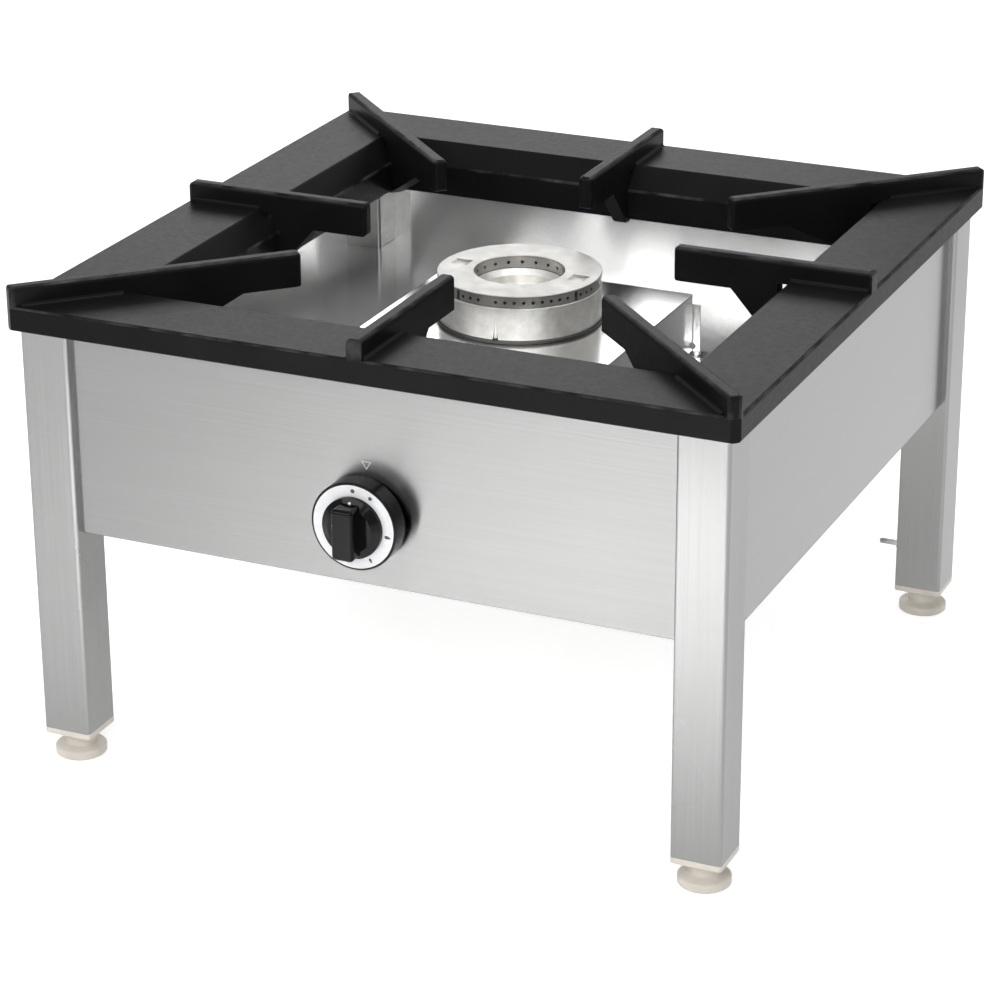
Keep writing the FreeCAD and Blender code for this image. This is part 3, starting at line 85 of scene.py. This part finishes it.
class Surface:
    """A procedural material whose patterns lie on object coordinates."""

    def __init__(self, name, colour, roughness, metallic=0.0):
        self.material = bpy.data.materials.new(name)
        self.material.use_nodes = True
        self.nodes = self.material.node_tree.nodes
        self.links = self.material.node_tree.links
        self.shader = self.nodes["Principled BSDF"]
        self.set("Base Color", (*colour, 1))
        self.set("Roughness", roughness)
        self.set("Metallic", metallic)
        self.place = self.nodes.new("ShaderNodeTexCoord").outputs["Object"]
        self.normal = None

    def set(self, socket, value):
        """A value that is the same all over, on the shader's own socket."""
        self.shader.inputs[socket].default_value = value

    def feed(self, socket, output):
        """A pattern into one of the shader's sockets."""
        self.links.new(output, self.shader.inputs[socket])

    def stretched(self, scale):
        """Object coordinates, scaled along each axis."""
        mapping = self.nodes.new("ShaderNodeMapping")
        mapping.inputs["Scale"].default_value = scale
        self.links.new(self.place, mapping.inputs["Vector"])
        return mapping.outputs["Vector"]

    def noise(self, scale, detail=2.0, stretch=(1, 1, 1)):
        """Fractal noise; scale is in features per metre."""
        node = self.nodes.new("ShaderNodeTexNoise")
        node.inputs["Scale"].default_value = scale
        node.inputs["Detail"].default_value = detail
        self.links.new(self.stretched(stretch), node.inputs["Vector"])
        return node.outputs["Fac"]

    def grains(self, scale):
        """Cell distances, for a cast or sparkling grain."""
        node = self.nodes.new("ShaderNodeTexVoronoi")
        node.inputs["Scale"].default_value = scale
        self.links.new(self.place, node.inputs["Vector"])
        return node.outputs["Distance"]

    def math(self, operation, first, second=0.0):
        """One step of arithmetic on patterns or numbers."""
        node = self.nodes.new("ShaderNodeMath")
        node.operation = operation
        for socket, value in zip(node.inputs, (first, second)):
            if isinstance(value, (int, float)):
                socket.default_value = value
            else:
                self.links.new(value, socket)
        return node.outputs["Value"]

    def axes(self):
        """Distances from the three middle planes: |x|, |y| and z, in metres."""
        split = self.nodes.new("ShaderNodeSeparateXYZ")
        self.links.new(self.place, split.inputs["Vector"])
        x, y, z = split.outputs
        return self.math("ABSOLUTE", x), self.math("ABSOLUTE", y), z

    def brushed(self, amount, rotation=0.0, across="Z"):
        """Brushing marks square to the given axis; a rotation of 0.25 sets them along it."""
        axis = self.nodes.new("ShaderNodeCombineXYZ")
        for name in "XYZ":
            axis.inputs[name].default_value = 1.0 if name == across else BRUSH_SLANT
        self.feed("Tangent", axis.outputs["Vector"])
        self.set("Anisotropic", amount)
        self.set("Anisotropic Rotation", rotation)

    def spread(self, fac, low, high, start=0.3, end=0.7):
        """A pattern's range start..end, spread over the values low..high."""
        node = self.nodes.new("ShaderNodeMapRange")
        node.inputs["From Min"].default_value = start
        node.inputs["From Max"].default_value = end
        node.inputs["To Min"].default_value = low
        node.inputs["To Max"].default_value = high
        self.links.new(fac, node.inputs["Value"])
        return node.outputs["Result"]

    def tones(self, fac, dark, light, start=0.3, end=0.7):
        """A pattern's range start..end, as colours from dark to light."""
        node = self.nodes.new("ShaderNodeValToRGB")
        first, last = node.color_ramp.elements
        first.position, last.position = start, end
        first.color, last.color = (*dark, 1), (*light, 1)
        self.links.new(fac, node.inputs["Fac"])
        return node.outputs["Color"]

    def blend(self, fac, first, second):
        """The base colour: first where the mask is 0, second where it is 1."""
        mix = self.nodes.new("ShaderNodeMix")
        mix.data_type = "RGBA"
        self.links.new(fac, mix.inputs["Factor"])
        for socket, value in ((mix.inputs[MIX_FIRST], first), (mix.inputs[MIX_SECOND], second)):
            if isinstance(value, tuple):
                socket.default_value = (*value, 1)
            else:
                self.links.new(value, socket)
        self.feed("Base Color", mix.outputs[MIX_RESULT])

    def bump(self, height, strength, depth):
        """Relief of the given depth in metres, over any relief set before."""
        node = self.nodes.new("ShaderNodeBump")
        node.inputs["Strength"].default_value = strength
        node.inputs["Distance"].default_value = depth
        self.links.new(height, node.inputs["Height"])
        if self.normal is not None:
            self.links.new(self.normal, node.inputs["Normal"])
        self.normal = node.outputs["Normal"]
        self.feed("Normal", self.normal)


def shade(colour, factor):
    """A colour made lighter or darker."""
    return tuple(min(1.0, channel * factor) for channel in colour)


BAND_TOP = 0.375          # heights and half widths of the pan support's worn edges, which also carry painted edge highlights
BAND_EDGE = 0.2885
RIB_TOP = 0.3885
RIB_EDGE = 0.0032
SLOPE_FOOT = 0.357
SLOPE_FOOT_HALF = 0.2105


def worn_and_highlit_edges(skin):
    """A mask of the casting's rubbed edges, also used for painted edge highlights: outer rim, rib tops,
    foot of the slope.
    """
    x, y, z = skin.axes()
    far = skin.math("MAXIMUM", x, y)
    low = skin.math("MINIMUM", x, y)
    rim = skin.math("MULTIPLY", skin.math("GREATER_THAN", far, BAND_EDGE),
                    skin.math("GREATER_THAN", z, BAND_TOP - 0.0016))
    across = skin.math("MULTIPLY", skin.math("SUBTRACT", far, low), math.sqrt(0.5))
    from_rib = skin.math("MINIMUM", low, across)
    ribs = skin.math("MULTIPLY", skin.math("GREATER_THAN", z, RIB_TOP),
                     skin.math("GREATER_THAN", from_rib, RIB_EDGE))
    height = skin.math("ABSOLUTE", skin.math("SUBTRACT", z, SLOPE_FOOT))
    at_lip = skin.math("ABSOLUTE", skin.math("SUBTRACT", far, SLOPE_FOOT_HALF))
    foot = skin.math("MULTIPLY", skin.math("LESS_THAN", height, 0.0012),
                     skin.math("LESS_THAN", at_lip, 0.0018))
    edges = skin.math("MAXIMUM", rim, skin.math("MAXIMUM", ribs, foot))
    return skin.math("MULTIPLY", edges, skin.spread(skin.noise(45, 5), 0.0, 1.0, 0.40, 0.75))


def cast_iron():
    """Black enamelled casting: satin, with a fine uneven skin and rubbed edges painted paler, partly as
    wear and partly as painted edge highlights.
    """
    black = (0.005, 0.005, 0.0056)
    skin = Surface("cast_iron", black, 0.38)
    skin.set("Specular IOR Level", 0.08)
    patches = skin.tones(skin.noise(18, 4), shade(black, 0.85), shade(black, 1.3))
    # paler colour along the edges: partly wear, partly a painted highlight on the rounded edges
    rubbed_and_highlit = (0.05, 0.05, 0.052)
    skin.blend(worn_and_highlit_edges(skin), patches, rubbed_and_highlit)
    skin.feed("Roughness", skin.spread(skin.noise(260, 3), 0.36, 0.42))
    skin.bump(skin.noise(30, 2), 0.06, 0.0008)
    skin.bump(skin.noise(1100, 2), 0.12, 0.00006)
    return skin.material


INSIDE_HALF = 0.275       # the panels' outer faces lie beyond this


def brushed_panel():
    """Stainless panels: brushed across outside, bright inside."""
    steel = (0.27, 0.27, 0.268)
    bright = (0.86, 0.86, 0.855)
    sheet = Surface("brushed_panel", steel, 0.25, 1.0)
    sheet.brushed(0.95)
    x, y, _ = sheet.axes()
    outside = sheet.math("GREATER_THAN", sheet.math("MAXIMUM", x, y), INSIDE_HALF)
    streaks = sheet.tones(sheet.noise(1, 3, ACROSS), shade(steel, 0.95), shade(steel, 1.05))
    sheet.blend(outside, bright, streaks)
    sheet.feed("Roughness", sheet.spread(outside, 0.20, 0.24, 0.0, 1.0))
    sheet.feed("Metallic", sheet.spread(outside, 0.80, 1.0, 0.0, 1.0))
    return sheet.material


def brushed_leg():
    """Stainless tube of the legs, brushed along its length."""
    steel = (0.27, 0.27, 0.268)
    tube = Surface("brushed_leg", steel, 0.25, 1.0)
    tube.brushed(0.85, 0.25)
    tube.feed("Base Color", tube.tones(tube.noise(1, 3, UPRIGHT), shade(steel, 0.94), shade(steel, 1.06)))
    tube.feed("Roughness", tube.spread(tube.noise(5, 2), 0.22, 0.28))
    return tube.material


def polished_steel():
    """Bright polished sheet of the deck."""
    colour = (0.93, 0.93, 0.925)
    sheet = Surface("polished_steel", colour, 0.12, 0.80)
    sheet.feed("Base Color", sheet.tones(sheet.noise(9, 3), shade(colour, 0.97), shade(colour, 1.02)))
    sheet.brushed(0.9, across="Y")
    sheet.feed("Roughness", sheet.spread(sheet.noise(14, 3), 0.12, 0.15))
    return sheet.material


def box_steel():
    """Satin sheet of the burner box."""
    colour = (0.90, 0.90, 0.895)
    sheet = Surface("box_steel", colour, 0.26, 1.0)
    sheet.feed("Base Color", sheet.tones(sheet.noise(9, 3), shade(colour, 0.96), shade(colour, 1.02)))
    sheet.feed("Roughness", sheet.spread(sheet.noise(11, 3), 0.17, 0.23))
    return sheet.material


def ivory_plastic():
    """Moulded plastic of the feet and inserts."""
    ivory = (0.60, 0.56, 0.50)
    plastic = Surface("ivory_plastic", ivory, 0.34)
    plastic.feed("Base Color", plastic.tones(plastic.noise(60, 3), shade(ivory, 0.9), shade(ivory, 1.06)))
    plastic.bump(plastic.noise(700, 2), 0.15, 0.0001)
    return plastic.material


FOOT_SHADOW_TOP = 0.3164   # painted shadow below this, where the burner's foot meets the box top
CAP_PLATE_LOW = 0.3504     # the cap's ported band lies below this


def split_at_height(skin, limit, upper, lower):
    """Colour that is the upper one above a height and the lower one below it."""
    _, _, z = skin.axes()
    skin.blend(skin.math("LESS_THAN", z, limit), upper, lower)


def burner_metal():
    """Nickel-plated casting with a sparkling grain, with a painted shadow at its foot."""
    nickel = (0.80, 0.79, 0.76)
    metal = Surface("burner_metal", nickel, 0.32, 1.0)
    tones = metal.tones(metal.noise(120, 4), shade(nickel, 0.88), shade(nickel, 1.1))
    # the dark colour below the foot top is a painted shadow at the gap between the burner and the box top
    split_at_height(metal, FOOT_SHADOW_TOP, tones, (0.10, 0.098, 0.094))
    metal.bump(metal.grains(1300), 0.6, 0.0003)
    metal.bump(metal.noise(2200, 2), 0.35, 0.0002)
    return metal.material


def turned_metal():
    """Machined and blasted top of the burner cap; its band of ports is a little lighter."""
    grey = (0.36, 0.354, 0.337)
    metal = Surface("turned_metal", grey, 0.42, 1.0)
    tones = metal.tones(metal.noise(160, 3), shade(grey, 0.96), shade(grey, 1.03))
    split_at_height(metal, CAP_PLATE_LOW, tones, (0.42, 0.412, 0.395))
    metal.feed("Roughness", metal.spread(metal.noise(90, 3), 0.30, 0.40))
    metal.bump(metal.noise(2400, 2), 0.3, 0.00008)
    return metal.material


def zinc_steel():
    """Bright zinc plating."""
    zinc = (0.58, 0.59, 0.60)
    metal = Surface("zinc_steel", zinc, 0.3, 1.0)
    metal.feed("Base Color", metal.tones(metal.noise(150, 3), shade(zinc, 0.85), shade(zinc, 1.08)))
    metal.bump(metal.noise(1500, 2), 0.15, 0.00005)
    return metal.material


def brass():
    """Machined brass, slightly dulled."""
    yellow = (0.62, 0.44, 0.17)
    metal = Surface("brass", yellow, 0.32, 1.0)
    metal.feed("Base Color", metal.tones(metal.noise(80, 4), shade(yellow, 0.75), shade(yellow, 1.1)))
    metal.bump(metal.noise(1200, 2), 0.15, 0.00006)
    return metal.material


def copper():
    """Drawn copper tube."""
    red = (0.70, 0.34, 0.20)
    metal = Surface("copper", red, 0.34, 1.0)
    metal.feed("Base Color", metal.tones(metal.noise(70, 4), shade(red, 0.7), shade(red, 1.08)))
    metal.bump(metal.noise(900, 2), 0.12, 0.00006)
    return metal.material


def cast_alloy():
    """As-cast aluminium of the mixing tube."""
    grey = (0.48, 0.48, 0.48)
    metal = Surface("cast_alloy", grey, 0.5, 1.0)
    metal.feed("Base Color", metal.tones(metal.noise(60, 4), shade(grey, 0.8), shade(grey, 1.1)))
    metal.bump(metal.noise(500, 4), 0.5, 0.0003)
    return metal.material


def black_gloss():
    """Glossy black moulding of the knob."""
    black = (0.0025, 0.0025, 0.003)
    plastic = Surface("black_gloss", black, 0.10)
    plastic.set("Specular IOR Level", 0.15)
    plastic.feed("Roughness", plastic.spread(plastic.noise(80, 3), 0.07, 0.14))
    plastic.bump(plastic.noise(160, 2), 0.06, 0.0002)
    return plastic.material


def dial_white():
    """Satin silver-white dial ring."""
    white = (0.62, 0.625, 0.64)
    plastic = Surface("dial_white", white, 0.35)
    plastic.feed("Base Color", plastic.tones(plastic.noise(300, 3), shade(white, 0.96), shade(white, 1.03)))
    plastic.bump(plastic.noise(1500, 2), 0.1, 0.00004)
    return plastic.material


ACROSS = (6, 6, 2600)    # lines along the horizontal, which change with height
UPRIGHT = (2600, 2600, 6)    # lines along the vertical


def finish_nodes():
    """Gives every node of the frame its surface."""
    finishes = {
        "cast_iron": cast_iron(),
        "stainless": brushed_panel(),
        "polished_steel": polished_steel(),
        "ivory_plastic": ivory_plastic(),
        "zinc_steel": zinc_steel(),
        "burner_metal": burner_metal(),
        "alloy": cast_alloy(),
        "brass": brass(),
        "copper": copper(),
        "black_gloss": black_gloss(),
        "dial_white": dial_white(),
    }
    legs = brushed_leg()
    cap = turned_metal()
    box = box_steel()
    for part in frame["record"]["subparts"]:
        node = frame["nodes"][part["node"]]
        material = finishes[part["material_slot"]]
        if node.name.startswith("leg_") and part["material_slot"] == "stainless":
            material = legs
        if node.name == "burner_cap":
            material = cap
        if node.name == "burner_box":
            material = box
        node.data.materials.clear()
        node.data.materials.append(material)


# ---- added pieces ----
def corner_normals(shape):
    """A normal for each face corner: the area-weighted mean over its smooth edges."""
    normals = []
    for face in shape.faces:
        for loop in face.loops:
            vert = loop.vert
            group, queue = {face}, [face]
            while queue:
                here = queue.pop()
                for edge in here.edges:
                    if edge.smooth and vert in edge.verts:
                        fresh = [other for other in edge.link_faces if other not in group]
                        group.update(fresh)
                        queue.extend(fresh)
            total = sum((other.normal * other.calc_area() for other in group), Vector())
            normals.append(total.normalized() if total.length > 0 else face.normal)
    return normals


def piece(name, shape, material, body):
    """A new object from a bmesh, riding on a body."""
    mesh = bpy.data.meshes.new(name)
    shape.normal_update()
    normals = corner_normals(shape)
    shape.to_mesh(mesh)
    shape.free()
    if mesh.polygons[0].use_smooth:
        mesh.normals_split_custom_set(normals)
    mesh.materials.append(material)
    obj = bpy.data.objects.new(name, mesh)
    bpy.context.scene.collection.objects.link(obj)
    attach(obj, body)
    return obj


SMOOTH_BELOW = math.radians(28)    # edges sharper than this stay sharp
MERGE_BELOW = 0.002 * MM


def refined(node_name):
    """A node's shape with shared corners and soft shading over its curved faces."""
    shape = bmesh.new()
    shape.from_mesh(frame["nodes"][node_name].data)
    bmesh.ops.remove_doubles(shape, verts=shape.verts, dist=MERGE_BELOW)
    for face in shape.faces:
        face.smooth = True
    for edge in shape.edges:
        flat = len(edge.link_faces) != 2
        edge.smooth = not flat and edge.calc_face_angle(0.0) < SMOOTH_BELOW
    return shape


SOFTENED = {
    "grate": "grate", "burner_cap": "burner_cap", "burner_body": "chassis", "burner_bowl": "chassis",
    "burner_box": "chassis", "control_knob": "knob", "dial_ring": "knob",
    "inlet_pipe": "chassis", "burner_feed_pipe": "chassis", "mixing_tube": "chassis",
}
for corner in CORNERS:
    SOFTENED["leg_" + corner] = "chassis"
    SOFTENED["leg_insert_" + corner] = "chassis"
    SOFTENED["foot_pad_" + corner] = "foot_" + corner


def soften_nodes():
    """Replaces the curved nodes by softly shaded copies."""
    for name, body in SOFTENED.items():
        material = frame["nodes"][name].data.materials[0]
        soft = piece(name + "_soft", refined(name), material, body)
        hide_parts(name)


RIDGE_STEPS = 28          # steps of a thread's ridge in each turn
RIDGE_ROOT = 0.97         # its root, sunk into the core by this factor
RIDGE_FOOT = 0.48         # half widths of its root and crest, in pitches
RIDGE_CREST = 0.08


def ridge(shape, centre, axis, core, crest, pitch, start, end):
    """A helical thread ridge around an axis, thinning out at both ends."""
    side = axis.orthogonal().normalized()
    other = axis.cross(side)
    root = core * RIDGE_ROOT
    count = int((end - start - pitch) / pitch * RIDGE_STEPS)
    rings = []
    for i in range(count + 1):
        angle = math.tau * i / RIDGE_STEPS
        outward = side * math.cos(angle) + other * math.sin(angle)
        middle = start + pitch / 2 + pitch * i / RIDGE_STEPS
        fade = min(1.0, i / RIDGE_STEPS, (count - i) / RIDGE_STEPS)
        top = core + (crest - core) * fade
        ring = []
        rising = ((root, -RIDGE_FOOT), (top, -RIDGE_CREST))
        falling = ((top, RIDGE_CREST), (root, RIDGE_FOOT))
        for radius, along in rising + falling:
            place = centre + outward * radius + axis * (middle + along * pitch)
            ring.append(shape.verts.new(place))
        rings.append(ring)
    for here, ahead in zip(rings, rings[1:]):
        for j in range(4):
            k = (j + 1) % 4
            shape.faces.new((here[j], here[k], ahead[k], ahead[j]))
    shape.faces.new(rings[0])
    shape.faces.new(rings[-1])
    bmesh.ops.recalc_face_normals(shape, faces=shape.faces)


END_SLACK = 0.02 * MM     # how near a point lies to the threaded length and its radius
RADIUS_SLACK = 0.03 * MM


def threaded(node_name, centre, axis, radius, core, pitch, start, end, slot):
    """A node's copy, its threaded length thinned to the core and given a ridge."""
    shape = refined(node_name)
    for vert in shape.verts:
        offset = vert.co - centre
        along = offset.dot(axis)
        radial = offset - axis * along
        on_thread = start - END_SLACK < along < end + END_SLACK
        if on_thread and abs(radial.length - radius) < RADIUS_SLACK:
            vert.co = centre + axis * along + radial.normalized() * core
    ridge(shape, centre, axis, core, radius, pitch, start, end)
    material = frame["nodes"][node_name].data.materials[0]
    obj = piece(node_name + "_threaded", shape, material, "chassis")
    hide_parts(node_name)


INLET_CENTRE = Vector((-150, 0, 226)) * MM
INLET_RADII = (10.48 * MM, 9.4 * MM)      # crest and core
INLET_PITCH = 1.81 * MM
INLET_THREAD = (294.5 * MM, 316.5 * MM)   # along the axis
BOND_CENTRE = Vector((0, 262, 56)) * MM
BOND_RADII = (2.5 * MM, 2.05 * MM)
BOND_PITCH = 0.8 * MM
BOND_THREAD = (-237.0 * MM, -222.0 * MM)


def make_threads():
    """The threads of the gas inlet and of the bonding stud."""
    threaded("inlet_connector", INLET_CENTRE, Y_AXIS, *INLET_RADII, INLET_PITCH, *INLET_THREAD, "brass")
    threaded("bonding_stud", BOND_CENTRE, -X_AXIS, *BOND_RADII, BOND_PITCH, *BOND_THREAD, "zinc_steel")


KNOB_CENTRE = Vector((0, 0, 249)) * MM
DIAL_FACE_Y = -296.5 * MM
PRINT_THICKNESS = 0.12 * MM


def printed(shape, outline, centre_x, centre_z, face_y):
    """A thin flat print on a surface that faces the front."""
    front = [shape.verts.new((centre_x + x, face_y - PRINT_THICKNESS, centre_z + z)) for x, z in outline]
    back = [shape.verts.new((centre_x + x, face_y + PRINT_THICKNESS, centre_z + z)) for x, z in outline]
    shape.faces.new(front)
    shape.faces.new(list(reversed(back)))
    for i, vert in enumerate(front):
        j = (i + 1) % len(front)
        shape.faces.new((vert, back[i], back[j], front[j]))


DISC_POINTS = 20
FLAME_POINTS = 28
FLAME_TAPER = 1.4         # how quickly a flame narrows towards its tip


def disc(radius):
    """The outline of a dot."""
    turns = [math.tau * i / DISC_POINTS for i in range(DISC_POINTS)]
    return [(radius * math.cos(turn), radius * math.sin(turn)) for turn in turns]


def flame(width, height, turn):
    """The outline of a flame, its tip turned clockwise from the top."""
    points = []
    for i in range(FLAME_POINTS):
        t = math.tau * i / FLAME_POINTS
        x = width / 2 * math.sin(t) * abs(math.sin(t / 2)) ** FLAME_TAPER
        z = height / 2 * math.cos(t)
        points.append((x * math.cos(turn) + z * math.sin(turn), z * math.cos(turn) - x * math.sin(turn)))
    return points


MARK_RADIUS = 27.9 * MM
MARKS = ((0, disc(1.6 * MM)), (30, disc(1.5 * MM)),
         (98, flame(3.8 * MM, 5.4 * MM, math.radians(98))),
         (151, flame(3.0 * MM, 4.2 * MM, math.radians(151))))


def make_dial_marks(material):
    """The marks of the dial: off, ignition, large and small flame."""
    shape = bmesh.new()
    for degrees, outline in MARKS:
        angle = math.radians(degrees)
        x = MARK_RADIUS * math.sin(angle)
        z = KNOB_CENTRE.z + MARK_RADIUS * math.cos(angle)
        printed(shape, outline, x, z, DIAL_FACE_Y)
    bmesh.ops.recalc_face_normals(shape, faces=shape.faces)
    piece("dial_marks", shape, material, "knob")


POINTER_CENTRE_X = 1 * MM
POINTER_CENTRE_Z = 289 * MM
POINTER_HALF = 4.0 * MM
POINTER_HEIGHT = 6.5 * MM
POINTER_LINE = 0.6 * MM
PANEL_FACE_Y = -275.5 * MM


def make_pointer(material):
    """The outlined triangle over the knob, pointing down."""
    shape = bmesh.new()
    top = POINTER_HEIGHT / 2
    outer = [(-POINTER_HALF, top), (POINTER_HALF, top), (0, -top)]
    shrink = 1 - 3 * POINTER_LINE / POINTER_HEIGHT
    lift = POINTER_HEIGHT / 6
    inner = [(x * shrink, (z - lift) * shrink + lift) for x, z in outer]
    for i in range(3):
        j = (i + 1) % 3
        side = [outer[i], inner[i], inner[j], outer[j]]
        printed(shape, side, POINTER_CENTRE_X, POINTER_CENTRE_Z, PANEL_FACE_Y)
    bmesh.ops.recalc_face_normals(shape, faces=shape.faces)
    piece("pointer_mark", shape, material, "chassis")


HUB_DOT_HEIGHT = 20.3 * MM    # the dot on the hub's cone, above the bar
HUB_SLOPE = math.atan2(3.4, 6.0)    # the hub's cone drops 3.4 mm over 6 mm
HUB_DOT_R = 1.1 * MM
HUB_DOT_Y = -301.8 * MM


def make_hub_dot(material):
    """The white dot on the hub, which points at the setting."""
    shape = bmesh.new()
    printed(shape, disc(HUB_DOT_R), 0, 0, 0)
    bmesh.ops.recalc_face_normals(shape, faces=shape.faces)
    tilt = Matrix.Rotation(-HUB_SLOPE, 4, "X")
    place = Matrix.Translation((0, HUB_DOT_Y, KNOB_CENTRE.z + HUB_DOT_HEIGHT))
    shape.transform(place @ tilt)
    piece("hub_dot", shape, material, "knob")


def ink(name, colour):
    """Printed ink, slightly uneven."""
    layer = Surface(name, colour, 0.45)
    layer.feed("Base Color", layer.tones(layer.noise(900, 2), shade(colour, 0.85), shade(colour, 1.15)))
    return layer.material


# ---- floor and light ----
FLOOR_HALF = 6.0
FLOOR_GLOW = 0.42         # lifts the floor to white, to the camera and in reflections


def make_floor():
    """A plain pale floor that keeps the object's shadow."""
    shape = bmesh.new()
    bmesh.ops.create_grid(shape, x_segments=1, y_segments=1, size=FLOOR_HALF)
    mesh = bpy.data.meshes.new("floor")
    shape.to_mesh(mesh)
    shape.free()
    floor = bpy.data.objects.new("floor", mesh)
    bpy.context.scene.collection.objects.link(floor)
    pale = Surface("floor", (0.86, 0.86, 0.86), 0.6)
    path = pale.nodes.new("ShaderNodeLightPath").outputs
    mirrored = pale.math("MAXIMUM", path["Is Glossy Ray"], path["Is Transmission Ray"])
    seen = pale.math("MAXIMUM", path["Is Camera Ray"], mirrored)
    pale.set("Emission Color", (1, 1, 1, 1))
    pale.feed("Emission Strength", pale.spread(seen, 0.0, FLOOR_GLOW, 0.0, 1.0))
    mesh.materials.append(pale.material)


def make_lamp(name, place, target, size, power):
    """A large soft lamp that points at a target."""
    data = bpy.data.lights.new(name, "AREA")
    data.shape = "RECTANGLE"
    data.size, data.size_y = size
    data.energy = power
    lamp = bpy.data.objects.new(name, data)
    away = Vector(place) - Vector(target)
    lamp.matrix_world = Matrix.Translation(place) @ away.to_track_quat("Z", "Y").to_matrix().to_4x4()
    bpy.context.scene.collection.objects.link(lamp)
    return lamp


WORLD_LEVEL = 0.58
WHITE_LEVEL = 1.0         # the world's level to the camera
LAMPS = (                 # name, place, target, size, power in watts
    ("key", (-0.75, -2.1, 1.5), (0, 0, 0.25), (1.8, 0.8), 19),
    ("side", (1.2, -2.6, 1.8), (0, 0, 0.3), (1.6, 0.8), 30),
    ("top", (0.2, 0.2, 2.4), (0, 0, 0.3), (1.2, 1.2), 22),
    ("rim", (-1.2, 2.4, 1.40), (0, 0, 0.35), (1.6, 0.7), 10),
)
FRONT_LAMP = ("front", (0.0, -0.85, 1.0), (0.0, -0.85, 0), (0.3, 0.3), 3.2)
FRONT_SPREAD = math.radians(60)


def make_light():
    """A pale world, white to the camera, and five soft lamps."""
    world = bpy.data.worlds.new("studio")
    bpy.context.scene.world = world
    world.use_nodes = True
    background = world.node_tree.nodes["Background"]
    background.inputs["Color"].default_value = (1, 1, 1, 1)
    nodes = world.node_tree.nodes
    level = nodes.new("ShaderNodeMapRange")
    level.inputs["To Min"].default_value = WORLD_LEVEL
    level.inputs["To Max"].default_value = WHITE_LEVEL
    path = nodes.new("ShaderNodeLightPath").outputs
    world.node_tree.links.new(path["Is Camera Ray"], level.inputs["Value"])
    world.node_tree.links.new(level.outputs["Result"], background.inputs["Strength"])
    for lamp in LAMPS:
        make_lamp(*lamp)
    front = make_lamp(*FRONT_LAMP)
    front.data.spread = FRONT_SPREAD


bpy.context.scene.view_settings.view_transform = "Standard"
make_camera()
finish_nodes()
soften_nodes()
make_threads()
make_dial_marks(ink("dark_ink", (0.04, 0.04, 0.04)))
make_hub_dot(ink("white_ink", (0.70, 0.70, 0.70)))
make_pointer(ink("pale_ink", (0.56, 0.56, 0.56)))
make_floor()
make_light()
